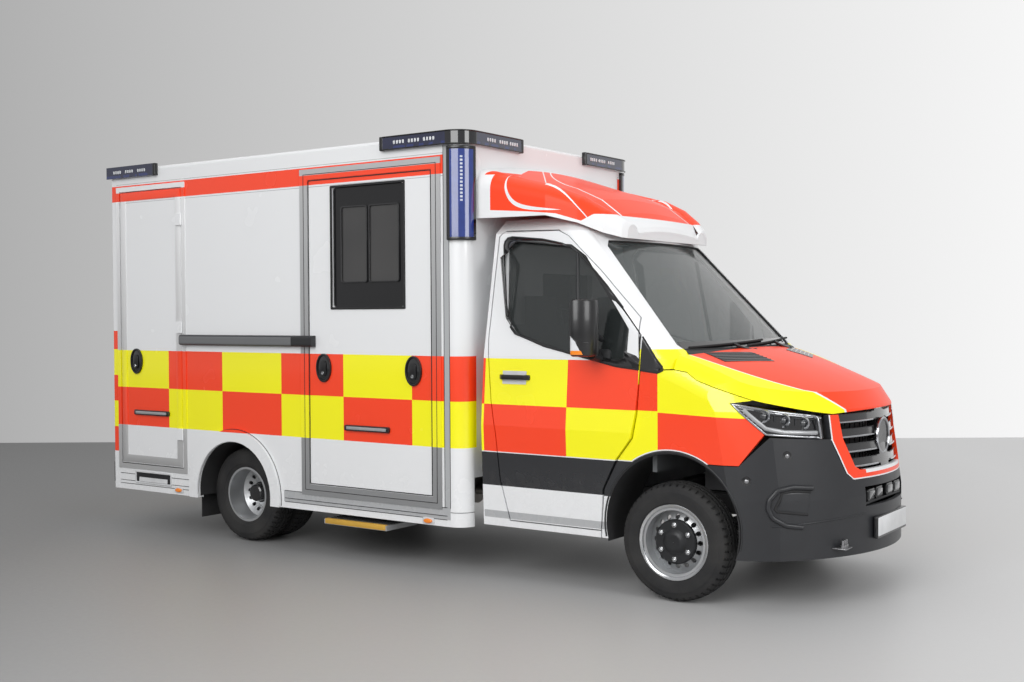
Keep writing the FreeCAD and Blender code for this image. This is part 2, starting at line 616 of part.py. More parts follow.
# ---------------------------------------------------------------- chassis
def ladder_frame():
    front, rear = at(d.rail_front), BOX_REAR + d.rail_rear_gap
    outer = d.rail_spacing / 2 + d.rail_width / 2
    inner = outer - d.rail_width
    low, top, wall = d.rail_bottom, d.rail_bottom + d.rail_height, d.rail_wall
    rail = plate_x("right rail", rear, front, [
        (-outer, low), (-inner, low), (-inner, low + wall), (-outer + wall, low + wall),
        (-outer + wall, top - wall), (-inner, top - wall), (-inner, top), (-outer, top)])
    pieces = [rail, mirrored("left rail", rail)]
    first = rear + d.cross_inset
    span = (front - rear - d.cross_inset * 2 - d.cross_width) / (SIZES["cross_count"] - 1)
    middle = (low + top) / 2
    for number in range(SIZES["cross_count"]):
        x = first + span * number
        pieces.append(box("cross member", (x, x + d.cross_width), (-outer + wall, outer - wall),
                          (middle - d.cross_height / 2, middle + d.cross_height / 2)))
    pitch = (BOX_FRONT - first - d.bearer_width) / SIZES["bearer_count"]
    bearers = [box("body bearer", (x, x + d.bearer_width), (-d.bearer_half, d.bearer_half),
                   (top, d.floor_bottom))
               for x in [first + pitch * number for number in range(SIZES["bearer_count"])]]
    node("body_bearers", joined("Part::Compound", "body_bearers", Links=bearers))
    space = nose_view("frame end space", d.nose_wall + d.seat_gap * 2)
    for label, inside, outside in (("right horn", -outer, -inner), ("left horn", inner, outer)):
        horn = box(label + " length", (front, at(NOSE[-1]["station"])), (inside, outside), (low, top))
        pieces.append(common(label, horn, space))
    frame = fuse("joined ladder", *pieces)
    holes = [cylinder("rear mount hole", "x", d.frame_mount_hole, d.cut_margin,
                      first - d.cut_margin / 4, side * d.frame_mount_x, middle + lift * d.frame_mount_z / 2)
             for side in (-1, 1) for lift in (-1, 1)]
    node("frame_rails", cut("frame_rails", frame, *holes))


def rear_axle():
    tube = cylinder("axle tube", "y", d.axle_tube_radius, d.axle_tube_end * 2, REAR_AXLE,
                    -d.axle_tube_end, d.tyre_radius)
    casing = centred("casing", revolved("differential casing", [
        (-d.diff_width / 2, d.spindle_radius), (d.diff_width / 2, d.spindle_radius),
        (d.diff_width / 2, d.axle_tube_radius), (d.diff_width / 4, d.diff_radius),
        (-d.diff_width / 4, d.diff_radius), (-d.diff_width / 2, d.axle_tube_radius)]), REAR_AXLE, 0)
    stub_end = REAR_MEETING + d.disc_thickness - d.seat_gap
    stub = cylinder("wheel stub", "y", d.spindle_radius, stub_end * 2, REAR_AXLE, -stub_end,
                    d.tyre_radius)
    low = d.tyre_radius + d.axle_tube_radius - d.spring_seat
    spring = plate_y("right spring", -d.rail_spacing / 2 - d.spring_width / 2,
                     -d.rail_spacing / 2 + d.spring_width / 2, [
        (REAR_AXLE - d.spring_length / 2, d.rail_bottom - d.spring_thickness),
        (REAR_AXLE, low), (REAR_AXLE + d.spring_length / 2, d.rail_bottom - d.spring_thickness),
        (REAR_AXLE + d.spring_length / 2, d.rail_bottom), (REAR_AXLE, low + d.spring_thickness),
        (REAR_AXLE - d.spring_length / 2, d.rail_bottom)])
    node("rear_axle", fuse("rear_axle", tube, casing, stub, spring, mirrored("left spring", spring)))


def front_suspension():
    subframe = box("subframe", (AXLE - d.subframe_depth / 2, AXLE + d.subframe_depth / 2),
                   (-d.subframe_width / 2, d.subframe_width / 2),
                   (d.subframe_bottom, d.subframe_bottom + d.subframe_height))
    post_half = d.rail_spacing / 2
    posts = [box("subframe post", (AXLE - d.arm_width / 2, AXLE + d.arm_width / 2),
                 (side * post_half - d.rail_width / 2, side * post_half + d.rail_width / 2),
                 (d.subframe_bottom + d.subframe_height, d.rail_bottom)) for side in (-1, 1)]
    arm_low = d.tyre_radius - d.kingpin_height / 2 - d.seat_gap - d.arm_thickness
    arms = []
    for side in (-1, 1):
        inner, outer = side * (d.subframe_width / 2 - d.arm_width), side * (d.kingpin_y + d.kingpin_radius)
        ends = (inner, outer) if side > 0 else (outer, inner)
        arms.append(box("lower arm", (AXLE - d.arm_width / 2, AXLE + d.arm_width / 2), ends,
                        (arm_low, arm_low + d.arm_thickness)))
        arms.append(box("arm hanger", (AXLE - d.arm_width / 2, AXLE + d.arm_width / 2),
                        (side * (d.subframe_width / 2) - d.arm_width / 2,
                         side * (d.subframe_width / 2) + d.arm_width / 2),
                        (arm_low, d.subframe_bottom + d.subframe_height)))
    node("front_axle", fuse("front_axle", subframe, *posts, *arms))


def masses_below():
    rail_top, rail_side = d.rail_bottom + d.rail_height, d.rail_spacing / 2 + d.rail_width / 2
    middle = (at(-d.engine_rear) + at(d.engine_front)) / 2
    block = box("engine mass", (at(-d.engine_rear), at(d.engine_front)),
                (-d.engine_half_width, d.engine_half_width), (rail_top, d.engine_top))
    lugs = box("engine lugs", (middle - d.arm_width / 2, middle + d.arm_width / 2),
               (-rail_side, rail_side), (rail_top, rail_top + d.arm_thickness))
    core = box("radiator core", (at(d.radiator_rear), at(d.radiator_front)),
               (-d.radiator_half, d.radiator_half), (rail_top, CAB_TOP["height"]))
    radiator = common("radiator", core, nose_view("radiator space", d.nose_wall + d.seat_gap * 2))
    node("engine_block", joined("Part::Compound", "engine_block",
                                Links=[fuse("engine", block, lugs), radiator]))
    tank_inner = rail_side + d.seat_gap
    node("fuel_tank", plate_x("fuel_tank", at(-d.tank_rear), at(-d.tank_front),
                              rounded(tank_inner, d.tank_outer, d.tank_bottom, d.tank_top,
                                      d.tank_radius)))
    muffler_y = rail_side + d.muffler_radius + d.seat_gap
    muffler = cylinder("muffler", "x", d.muffler_radius, d.muffler_rear - d.muffler_front,
                       at(-d.muffler_rear), -muffler_y, d.muffler_z)
    pipe = cylinder("exhaust pipe", "x", d.pipe_radius, d.pipe_rear - d.pipe_front,
                    at(-d.pipe_rear), -muffler_y, d.muffler_z)
    node("exhaust", fuse("exhaust", muffler, pipe))


# ---------------------------------------------------------------- wheels
def tyre(label):
    """A tyre ring about the Y axis with a flat tread, round shoulders and bulged walls."""
    half, tread = d.tyre_width / 2, d.tyre_tread_width / 2
    bead = d.rim_width / 2 - d.rim_lip - d.seat_gap
    wall_radius = d.tyre_bulge_radius
    ring = revolved(label, [
        (-bead, d.rim_seat_radius + d.seat_gap), (bead, d.rim_seat_radius + d.seat_gap),
        (bead, d.rim_flange_radius + d.rim_lip), (half, wall_radius),
        (half - d.tyre_crown_drop, d.tyre_shoulder_radius - d.tyre_crown_drop),
        (tread, d.tyre_radius - d.tyre_crown_drop / 3), (0, d.tyre_radius),
        (-tread, d.tyre_radius - d.tyre_crown_drop / 3),
        (-half + d.tyre_crown_drop, d.tyre_shoulder_radius - d.tyre_crown_drop),
        (-half, wall_radius), (-bead, d.rim_flange_radius + d.rim_lip)])
    return ring


def rim(label, disc, dish):
    """A steel rim about Y: barrel, flanges and a vented disc; its outer side is -Y.

    disc is how far the disc's face lies outside the wheel's middle, and dish how far in it meets the
    barrel from there.
    """
    half, barrel = d.rim_width / 2, d.rim_seat_radius - d.rim_wall
    flat = d.vent_circle - d.vent_radius * 2
    back = d.disc_thickness - disc
    body = new_body(label)
    sketch = sketch_on(body, "YZ_Plane", 0, [[
        (-half, d.rim_flange_radius), (-half, barrel), (dish - disc, barrel), (-disc, flat),
        (-disc, d.hub_bore), (back, d.hub_bore), (back, flat), (back + dish, barrel), (half, barrel),
        (half, d.rim_flange_radius), (half - d.rim_lip, d.rim_flange_radius),
        (half - d.rim_lip, d.rim_seat_radius), (d.rim_lip - half, d.rim_seat_radius),
        (d.rim_lip - half, d.rim_flange_radius)]])
    turn = body.newObject("PartDesign::Revolution", "turn")
    turn.Profile = sketch
    turn.ReferenceAxis = (sketch, ["H_Axis"])
    turn.Angle = 360
    spot = sketch_on(body, "XZ_Plane", 0, [])
    circle(spot, d.vent_circle, d.vent_radius)
    vent = body.newObject("PartDesign::Pocket", "vent")
    vent.Profile = spot
    vent.SideType = "Symmetric"
    vent.Type = "ThroughAll"
    ring_of(body, spot, vent, d.vent_count)
    face = sketch_on(body, "XZ_Plane", disc, [])
    circle(face, d.stud_circle_radius, d.nut_radius)
    nut = body.newObject("PartDesign::Pad", "nut")
    nut.Profile = face
    bind(nut, Length=d.nut_height)
    ring_of(body, face, nut, d.stud_count)
    return body


def circle(sketch, height, radius):
    """A round hole or boss straight above the sketch's centre."""
    height, radius = as_size(height), as_size(radius)
    sketch.addGeometry(Part.Circle(Vector(0, height.value, 0), Vector(0, 0, 1), radius.value), False)
    sketch.addConstraint(Sketcher.Constraint("PointOnObject", 0, 3, -2))
    for kind, places, size in (("DistanceY", (-1, 1, 0, 3), height), ("Radius", (0,), radius)):
        index = sketch.addConstraint(Sketcher.Constraint(kind, *places, size.value))
        sketch.setExpression("Constraints[%d]" % index, size.text)


def ring_of(body, sketch, feature, count):
    """Repeat a feature about the wheel's axle."""
    pattern = body.newObject("PartDesign::PolarPattern", "ring")
    pattern.Originals = [feature]
    pattern.Axis = (sketch, ["N_Axis"])
    pattern.Angle = 360
    bind(pattern, Occurrences=count)
    body.Tip = pattern


def centred(label, piece, x, y):
    """Move a piece made about the wheel's axle line to its axle."""
    return place(piece, x, y, d.tyre_radius)


def front_wheels():
    y = -d.front_wheel_y
    tread = centred("front tyre", tyre("front tyre"), AXLE, y)
    disc = centred("front rim", rim("front rim", d.front_disc_offset, d.disc_dish), AXLE, y)
    face = y - d.front_disc_offset
    hub = cylinder("front hub", "y", d.hub_radius, d.cap_depth, AXLE, face + d.disc_thickness,
                   d.tyre_radius)
    bore = cylinder("front hub bore", "y", d.hub_bore, d.cap_depth * 2, AXLE, face, d.tyre_radius)
    hub = cut("bored front hub", hub, bore)
    cap = cylinder("front hub cap", "y", d.cap_radius, d.cap_depth, AXLE, face - d.cap_depth,
                   d.tyre_radius)
    whole = fuse("front wheel", disc, hub, cap)
    node("front_tyre_right", tread)
    node("front_rim_right", whole)
    node("front_tyre_left", mirrored("front_tyre_left", tread))
    node("front_rim_left", mirrored("front_rim_left", whole))


def knuckles():
    """The upright that a front wheel turns on, with its spindle and kingpin ends."""
    inner = -d.kingpin_y + d.knuckle_width / 2
    upright = cylinder("upright", "y", d.knuckle_radius, d.knuckle_width, AXLE,
                       -d.kingpin_y - d.knuckle_width / 2, d.tyre_radius)
    tip = -d.front_wheel_y - d.front_disc_offset + d.seat_gap
    spindle = cylinder("spindle", "y", d.spindle_radius, inner - tip, AXLE, tip, d.tyre_radius)
    post = cylinder("kingpin post", "z", d.kingpin_radius, d.kingpin_height, AXLE, -d.kingpin_y,
                    d.tyre_radius - d.kingpin_height / 2)
    right = fuse("knuckle_right", upright, spindle, post)
    node("knuckle_right", right)
    node("knuckle_left", mirrored("knuckle_left", right))


def rear_wheels():
    """Each side has two rims, back to back on their discs, and two tyres."""
    outer = centred("outer rim", rim("outer rim", d.disc_thickness - REAR_REACH, -d.disc_dish), REAR_AXLE,
                    -d.rear_outer_y)
    inner = mirrored("inner rim", outer)
    bind(inner, Base__y=-REAR_MEETING)
    cap = cylinder("rear hub cap", "y", d.cap_radius, d.cap_depth, REAR_AXLE,
                   -REAR_MEETING - d.disc_thickness - d.cap_depth, d.tyre_radius)
    rims = fuse("rear_rims_right", outer, inner, cap)
    node("rear_rims_right", rims)
    node("rear_rims_left", mirrored("rear_rims_left", rims))
    outer_tyre = centred("outer tyre", tyre("outer tyre"), REAR_AXLE, -d.rear_outer_y)
    inner_tyre = centred("inner tyre", tyre("inner tyre"), REAR_AXLE, -d.rear_inner_y)
    tyres = joined("Part::Compound", "rear_tyres_right", Links=[outer_tyre, inner_tyre])
    node("rear_tyres_right", tyres)
    node("rear_tyres_left", mirrored("rear_tyres_left", tyres))


# ---------------------------------------------------------------- cab envelope
# Plan sections of the cabin: its height, half width, where the straight side ends, the windscreen
# pillar's place and the middle of the curved front, all from the front axle line.
CABIN = d.table("cabin", ("height", "half_width", "side_end", "pillar_x", "pillar_y", "front"), [
    (345, 975, -140, 0, 900, 60),
    (1000, 1003, -140, 30, 900, 90),
    (1450, 968, -130, 40, 872, 160),
    (2250, 822, -820, -700, 715, -575),
    (2345, 700, -900, -800, 590, -690),
])
SILL, BELT, WAIST, CAB_TOP = CABIN[0], CABIN[1], CABIN[2], CABIN[-1]
# Cross sections of the nose: its place, the half width at sill and belt, the top of the flat side, the
# end of the rounded shoulder and the crown of the bonnet.
NOSE = d.table("nose", ("station", "half_width", "side_top", "shoulder_y", "shoulder_z", "crown"), [
    (-500, 1003, 1330, 905, 1480, 1560),
    (100, 1003, 1275, 900, 1445, 1505),
    (480, 1000, 1110, 890, 1290, 1400),
    (810, 1000, 1000, 860, 1130, 1277),
    (1100, 1000, 900, 840, 965, 1100),
])


def cabin_body(label, inset, rear=None):
    """The outside of the cabin, or its inside when inset by the wall and with its own rear plane."""
    sections = []
    for number, row in enumerate(CABIN):
        half, side_end = row["half_width"] - inset, row["side_end"] - inset / 2
        pillar_x, pillar_y, front = [row[key] - inset for key in ("pillar_x", "pillar_y", "front")]
        height = row["height"]
        if number == 0:
            height = height - inset
        if number == len(CABIN) - 1:
            height = height - inset
        along, across, bulge = pillar_x - side_end, half - pillar_y, front - pillar_x
        corner = (along * along + across * across) / (across * 2)
        arc = (pillar_y * pillar_y + bulge * bulge) / (bulge * 2)
        back = at(-d.cab_back) + inset if rear is None else rear
        sections.append((height, [
            (back, -half), (at(side_end), -half, corner), (at(pillar_x), -pillar_y, arc),
            (at(pillar_x), pillar_y, corner), (at(side_end), half), (back, half)]))
    return loft(label, "XY_Plane", sections, ruled=True)


def nose_body(label, inset):
    """The outside of the wings, bonnet and bumper, or their inside when inset."""
    sections = []
    for row in NOSE:
        sill, belt = SILL["half_width"] - inset, row["half_width"] - inset
        side_top, shoulder_z, crown = [row[key] - inset for key in ("side_top", "shoulder_z", "crown")]
        shoulder_y = row["shoulder_y"] - inset
        upper = belt - (row["half_width"] - WAIST["half_width"]) * (row["side_top"] - BELT["height"]) / (
            WAIST["height"] - BELT["height"])
        low = d.nose_bottom + inset
        rise, run = shoulder_z - side_top, upper - shoulder_y
        shoulder = (rise * rise + run * run) / (run * 2)
        drop = crown - shoulder_z
        arc = (shoulder_y * shoulder_y + drop * drop) / (drop * 2)
        sections.append((at(row["station"]), [
            (-sill, low), (sill, low), (upper, side_top, shoulder), (shoulder_y, shoulder_z, arc),
            (-shoulder_y, shoulder_z, shoulder), (-upper, side_top)]))
    return loft(label, "YZ_Plane", sections)


# ---------------------------------------------------------------- cab outlines
# Side views, as a place from the front axle line and a height.
DOOR_FRONT = d.table("door_front", ("x", "z"), [
    (-479, 400), (-460, 647), (-362, 838), (-262, 966), (-230, 1118), (-208, 1375), (-245, 1694),
    (-545, 1990), (-800, 2215), (-880, 2252)])
DOOR_REAR = d.table("door_rear", ("x", "z"), [
    (-1300, 2262), (-1335, 2230), (-1340, 1550), (-1294, 1161), (-1253, 956), (-1225, 650), (-1154, 392)])
DOOR_WINDOW = d.table("door_window", ("x", "z"), [
    (-1215, 1690), (-1130, 1590), (-727, 1473), (-320, 1424), (-300, 1436), (-300, 1625), (-655, 2085),
    (-770, 2160), (-1200, 2205), (-1262, 2150)])
BONNET_SEAM = d.table("bonnet_seam", ("x", "z"), [
    (20, 1388), (100, 1375), (172, 1328), (480, 1220), (820, 1128), (1120, 1160)])
LAMP = d.table("lamp", ("x", "z"), [(372, 1200), (558, 1022), (806, 992), (786, 1118)])
BUMPER_SEAM = d.table("bumper_seam", ("x", "z"), [(240, 838), (428, 838), (580, 1005), (900, 975)])
# Front views, as a half width and a height.
SCREEN = d.table("screen", ("y", "z"), [(800, 1490), (835, 1530), (690, 2150), (640, 2190)])
GRILLE = d.table("grille", ("y", "z"), [(480, 1140), (465, 980), (395, 815), (350, 790)])
SURROUND = d.table("surround", ("y", "z"), [(552, 1122), (548, 975), (470, 780), (420, 740)])


# Cross sections of the roof fairing, by their reach forward of the box.
FAIRING = d.table("fairing", ("reach", "low", "half_width", "shoulder", "top_half", "top", "crown"), [
    (0, 2352, 925, 2560, 780, 2690, 50),
    (510, 2352, 870, 2450, 700, 2535, 35),
    (700, 2300, 785, 2385, 635, 2448, 45),
    (840, 2236, 705, 2300, 560, 2350, 45),
    (925, 2206, 610, 2238, 455, 2264, 38),
    (945, 2202, 570, 2222, 430, 2240, 28),
])
LEAN = d.table("lean", ("z", "back"), [(0, 0), (640, 0), (1150, 66), (1800, 500)])
NOSE_RUN = d.nose_corner_x - d.nose_corner_start
NOSE_STEP = d.nose_side_y - d.nose_corner_y
NOSE_CORNER_ARC = (NOSE_RUN * NOSE_RUN + NOSE_STEP * NOSE_STEP) / (NOSE_STEP * 2)
NOSE_BULGE = d.front_overhang - d.nose_corner_x
NOSE_FRONT_ARC = (d.nose_corner_y * d.nose_corner_y + NOSE_BULGE * NOSE_BULGE) / (NOSE_BULGE * 2)


def side_points(rows, shift=0, lift=0):
    return [(at(row["x"]) + shift, row["z"] + lift) for row in rows]


def slab(label, outline, low=None, high=None):
    """A cutting block from side to side, or between two Y planes, with a side-view outline."""
    return plate_y(label, -WIDE if low is None else low, WIDE if high is None else high, outline)


def front_block(label, rows, low, high, grow=0):
    """A block between two stations with a front-view outline mirrored about the middle plane."""
    right = [(-row["y"] - grow, row["z"]) for row in rows]
    left = [(row["y"] + grow, row["z"]) for row in reversed(rows)]
    return plate_x(label, low, high, right + left)


def door_outline(gap):
    front = side_points(DOOR_FRONT, gap)
    rear = side_points(DOOR_REAR, -gap)
    front[0] = (front[0][0], DOOR_REAR[-1]["z"] - gap)
    front[-1] = (at(DOOR_FRONT[-1]["x"]), DOOR_FRONT[-1]["z"] + gap)
    rear[0] = (at(DOOR_REAR[0]["x"]), DOOR_REAR[0]["z"] + gap)
    rear[-1] = (rear[-1][0], DOOR_REAR[-1]["z"] - gap)
    return front + rear


def cab_shell_and_doors():
    outside, inside = cabin_body("cabin outside", 0), cabin_body("cabin inside", d.cab_wall)
    walls = cut("cabin walls", outside, inside)
    door_side = CAB_TOP["half_width"] - d.cab_wall * 2
    behind = at(-d.cab_back) - d.cut_margin
    opened_side = cut("side wall space", cabin_body("space outside", -d.seat_gap),
                      cabin_body("space inside", d.cab_wall + d.panel_gap, behind))
    right_opening = common("right door opening", opened_side,
                           slab("right opening outline", door_outline(d.door_gap), high=-door_side))
    left_opening = mirrored("left door opening", right_opening)
    nose_zone = slab("space for the nose", [
        (at(DOOR_FRONT[0]["x"]), 0), (at(NOSE[-1]["station"]), 0),
        (at(NOSE[-1]["station"]), BONNET_SEAM[0]["z"]), (at(DOOR_FRONT[5]["x"]), BONNET_SEAM[0]["z"])]
        + side_points(reversed(DOOR_FRONT[:6])))
    screen_opening = front_block("windscreen opening", SCREEN, at(-d.cab_back + d.cab_wall * 2),
                                 at(NOSE[-1]["station"]))
    passage = box("cab passage", (at(-d.cab_back) - d.cut_margin, at(-d.cab_back) + d.cab_wall * 2),
                  (-d.pass_half_width, d.pass_half_width), (d.pass_bottom, d.pass_top))
    below = box("space for the frame", (at(-d.cab_back) - d.cut_margin, AXLE),
                (-d.floor_half_width, d.floor_half_width), (0, d.cab_floor_height))
    shell = cut("opened cabin", walls, right_opening, left_opening, nose_zone, screen_opening, passage,
                below)
    seal = cut("door seal band", cabin_body("seal outside", d.cab_wall + d.seat_gap),
               cabin_body("seal inside", d.cab_wall + d.seat_gap + d.seal_thickness))
    seal_room = box("door seal room", (at(-d.cab_back) + d.cab_wall + d.panel_gap, at(-d.seal_front)),
                    (-WIDE, 0), (0, WAIST["height"]))
    strip = cut("right seal outline", slab("seal outer outline", door_outline(d.seal_width),
                                           high=-door_side),
                slab("seal inner outline", door_outline(-d.seal_width)))
    node("cab_shell", joined("Part::Compound", "cab_shell", Links=[
        shell, pair("door seals", common("right door seal", seal, strip, seal_room))]))
    side_wall = cut("side wall", outside, cabin_body("side wall inside", d.cab_wall, behind))
    leaf = common("right leaf", side_wall, slab("right door", door_outline(0), high=-door_side))
    window = slab("right door window", side_points(DOOR_WINDOW), high=-door_side)
    leaf = cut("cab_door_right", leaf, window)
    node("cab_door_right", leaf)
    node("cab_door_left", mirrored("cab_door_left", leaf))
    pane_out = cabin_body("glass outside", d.cab_wall / 3)
    pane_in = cabin_body("glass inside", d.cab_wall / 3 + d.glass_thickness)
    sheet = cut("cab glass sheet", pane_out, pane_in)
    pane = common("door_glass_right", sheet, slab("right door pane", side_points(DOOR_WINDOW),
                                                  high=-door_side))
    node("door_glass_right", pane)
    node("door_glass_left", mirrored("door_glass_left", pane))
    node("windscreen", common("windscreen", sheet, front_block(
        "windscreen outline", SCREEN, at(-d.cab_back + d.cab_wall * 2), at(NOSE[-1]["station"]))))


def nose_view(label, inset):
    """The nose trimmed by its front, which is curved in plan and leans back with height."""
    sections = []
    for row in LEAN:
        start, corner = at(d.nose_corner_start) - row["back"], at(d.nose_corner_x) - row["back"]
        sections.append((row["z"], [
            (at(-d.nose_rear), -WIDE), (start, -WIDE), (start, inset - d.nose_side_y, NOSE_CORNER_ARC),
            (corner - inset / 2, inset - d.nose_corner_y, NOSE_FRONT_ARC),
            (corner - inset / 2, d.nose_corner_y - inset, NOSE_CORNER_ARC),
            (start, d.nose_side_y - inset), (start, WIDE), (at(-d.nose_rear), WIDE)]))
    front = loft(label + " front", "XY_Plane", sections, ruled=True)
    return common(label, nose_body(label + " body", inset), front)


def nose_panels():
    outside = nose_view("nose outside", 0)
    skin = cut("nose skin", outside, nose_view("nose inside", d.nose_wall))
    gap = d.panel_gap
    wing_top = side_points(BONNET_SEAM[:4], 0, -gap)
    wing = slab("wing outline", [(at(DOOR_FRONT[0]["x"]) + d.door_gap, SILL["height"]),
                                 (at(BUMPER_SEAM[0]["x"]), SILL["height"]),
                                 (at(BUMPER_SEAM[0]["x"]), BUMPER_SEAM[0]["z"] + gap),
                                 (at(BUMPER_SEAM[1]["x"]), BUMPER_SEAM[1]["z"] + gap),
                                 (at(LAMP[1]["x"]) - gap, LAMP[1]["z"]),
                                 (at(LAMP[0]["x"]) - gap, LAMP[0]["z"])]
                + list(reversed(wing_top))
                + side_points(reversed(DOOR_FRONT[:6]), d.door_gap), high=-d.wing_inner)
    arch = arch_cutter("front arch", AXLE, d.front_arch_height, d.front_arch_radius, -WIDE, WIDE)
    node("front_wings", pair("front_wings", cut("right wing", common("right wing skin", skin, wing), arch)))
    thick = cut("nose thickness", outside, nose_view("nose deep inside", d.lamp_depth))
    lamp = common("right headlamp", thick, slab("lamp outline", side_points(LAMP), high=-d.wing_inner))
    node("headlights", pair("headlights", lamp))
    above = slab("bonnet side view", side_points(BONNET_SEAM)
                 + [(at(NOSE[-1]["station"]), CAB_TOP["height"]), (at(d.bonnet_rear), CAB_TOP["height"])])
    node("bonnet", cut("bonnet", common("bonnet skin", skin, above),
                       cabin_body("space behind the bonnet", -d.bonnet_rear_gap)))
    bumper_zone = slab("bumper side view", [
        (at(BUMPER_SEAM[0]["x"]), 0), (at(NOSE[-1]["station"]), 0),
        (at(NOSE[-1]["station"]), BUMPER_SEAM[3]["z"])] + list(reversed(side_points(BUMPER_SEAM))))
    surround_block = front_block("surround space", SURROUND, at(d.grille_plane), at(NOSE[-1]["station"]),
                                 gap)
    air = box("lower air opening", (at(d.grille_plane), at(NOSE[-1]["station"])),
              (-d.air_half, d.air_half), (d.air_bottom, d.air_top))
    bumper = common("bumper skin", skin, bumper_zone)
    node("front_bumper", cut("front_bumper", bumper, arch, surround_block, air))
    ring = front_block("surround outline", SURROUND, at(d.grille_plane), at(NOSE[-1]["station"]))
    mouth = front_block("grille opening", GRILLE, at(d.grille_plane), at(NOSE[-1]["station"]))
    below_bonnet = slab("space below the bonnet", [
        (at(d.grille_plane), 0), (at(NOSE[-1]["station"]), 0)]
        + list(reversed(side_points(BONNET_SEAM[4:], 0, -gap))) + [(at(d.grille_plane), LAMP[3]["z"])])
    surround = common("surround skin", skin, ring, below_bonnet)
    node("grille_surround", cut("grille_surround", surround, mouth))
    depth = nose_view("grille face", d.grille_inset)
    band = cut("grille depth", depth, nose_view("grille back", d.grille_inset + d.grille_thickness))
    pitch = (GRILLE[0]["z"] - GRILLE[3]["z"]) / SIZES["slat_count"]
    heights = [GRILLE[3]["z"] + pitch * number + (pitch - d.slat_height) / 2
               for number in range(SIZES["slat_count"])]
    slats = [box("slat", (at(d.grille_plane), at(NOSE[-1]["station"])), (-WIDE, WIDE),
                 (height, height + d.slat_height)) for height in heights]
    post = box("badge post", (at(d.grille_plane), at(NOSE[-1]["station"])),
               (-d.badge_half, d.badge_half), (GRILLE[3]["z"], GRILLE[0]["z"]))
    inner_mouth = front_block("grille outline", GRILLE, at(d.grille_plane), at(NOSE[-1]["station"]),
                              -d.seat_gap)
    node("grille", common("grille", band, inner_mouth, below_bonnet,
                          fuse("grille bars", post, *slats)))


def cab_inside():
    floor = box("cab floor", (at(-d.cab_back) + d.cab_wall, at(DOOR_FRONT[0]["x"])),
                (-d.floor_half_width, d.floor_half_width),
                (d.cab_floor_height, d.cab_floor_height + d.cab_floor_thickness))
    firewall_rear = at(-d.firewall_front) - d.firewall_thickness
    toe = box("toe board", (at(DOOR_FRONT[0]["x"]), at(-d.firewall_front)),
              (-d.toe_half_width, d.toe_half_width), (d.toe_height, d.toe_height + d.cab_floor_thickness))
    step = box("toe riser", (at(DOOR_FRONT[0]["x"]) - d.firewall_thickness, at(DOOR_FRONT[0]["x"])),
               (-d.toe_half_width, d.toe_half_width),
               (d.cab_floor_height, d.toe_height + d.cab_floor_thickness))
    firewall = box("firewall", (firewall_rear, at(-d.firewall_front)),
                   (-d.firewall_half_width, d.firewall_half_width),
                   (d.toe_height, d.firewall_top))
    node("cab_floor", fuse("cab_floor", floor, toe, step, firewall))
    node("dashboard", plate_y("dashboard", -d.dash_half_width, d.dash_half_width, [
        (at(-d.dash_rear), d.dash_middle), (at(-d.dash_rear) + d.dash_bottom_back, d.dash_bottom),
        (firewall_rear, d.dash_bottom), (firewall_rear, d.dash_top),
        (at(-d.dash_rear) + d.dash_brow, d.dash_top), (at(-d.dash_rear), d.dash_top - d.dash_brow)]))
    seats = []
    for side in (-1, 1):
        y = side * d.seat_y
        rear = at(-d.seat_back)
        inset = d.seat_base_inset
        top = d.seat_cushion_top
        pedestal = box("seat base", (rear + inset, rear + d.seat_depth - inset),
                       (y - d.seat_width / 2 + inset, y + d.seat_width / 2 - inset),
                       (d.cab_floor_height + d.cab_floor_thickness, top - d.seat_thickness))
        cushion = box("seat cushion", (rear, rear + d.seat_depth),
                      (y - d.seat_width / 2, y + d.seat_width / 2), (top - d.seat_thickness, top))
        back = box("backrest", (rear, rear + d.backrest_thickness),
                   (y - d.seat_width / 2, y + d.seat_width / 2), (top, top + d.backrest_height))
        head = box("headrest", (rear, rear + d.headrest_thickness),
                   (y - d.headrest_width / 2, y + d.headrest_width / 2),
                   (top + d.backrest_height, top + d.backrest_height + d.headrest_height))
        seats.append(fuse("seat", pedestal, cushion, back, head))
    node("seats", joined("Part::Compound", "seats", Links=seats))


def steering():
    ring = doc.addObject("Part::Torus", "ring")
    bind(ring, Radius1=d.wheel_ring_radius, Radius2=d.wheel_grip_radius)
    tilt = FreeCAD.Rotation(Vector(0, 1, 0), -d.wheel_tilt.value)
    ring.Placement = FreeCAD.Placement(Vector(), tilt)
    place(ring, at(-d.wheel_hub_x), d.wheel_y, d.wheel_hub_z)
    hub = doc.addObject("Part::Cylinder", "hub")
    bind(hub, Radius=d.column_radius * 2, Height=d.column_radius)
    hub.Placement = FreeCAD.Placement(Vector(), tilt)
    place(hub, at(-d.wheel_hub_x), d.wheel_y, d.wheel_hub_z)
    spoke = box("spoke", (0, d.wheel_ring_radius * 2), (0, d.column_radius), (0, d.wheel_grip_radius))
    shift = tilt.multVec(Vector(-d.wheel_ring_radius.value, -d.column_radius.value / 2, 0))
    spoke.Placement = FreeCAD.Placement(Vector(), tilt)
    place(spoke, at(-d.wheel_hub_x) + shift.x, d.wheel_y + shift.y, d.wheel_hub_z + shift.z)
    node("steering_wheel", fuse("steering_wheel", ring, hub, spoke))
    column = doc.addObject("Part::Cylinder", "steering column")
    bind(column, Radius=d.column_radius, Height=d.column_length)
    column.Placement = FreeCAD.Placement(Vector(), tilt)
    back = tilt.multVec(Vector(0, 0, -d.column_length.value - d.seat_gap.value))
    place(column, at(-d.wheel_hub_x) + back.x, d.wheel_y, d.wheel_hub_z + back.z)
    node("dashboard", fuse("dashboard and column", NODES["dashboard"], column))


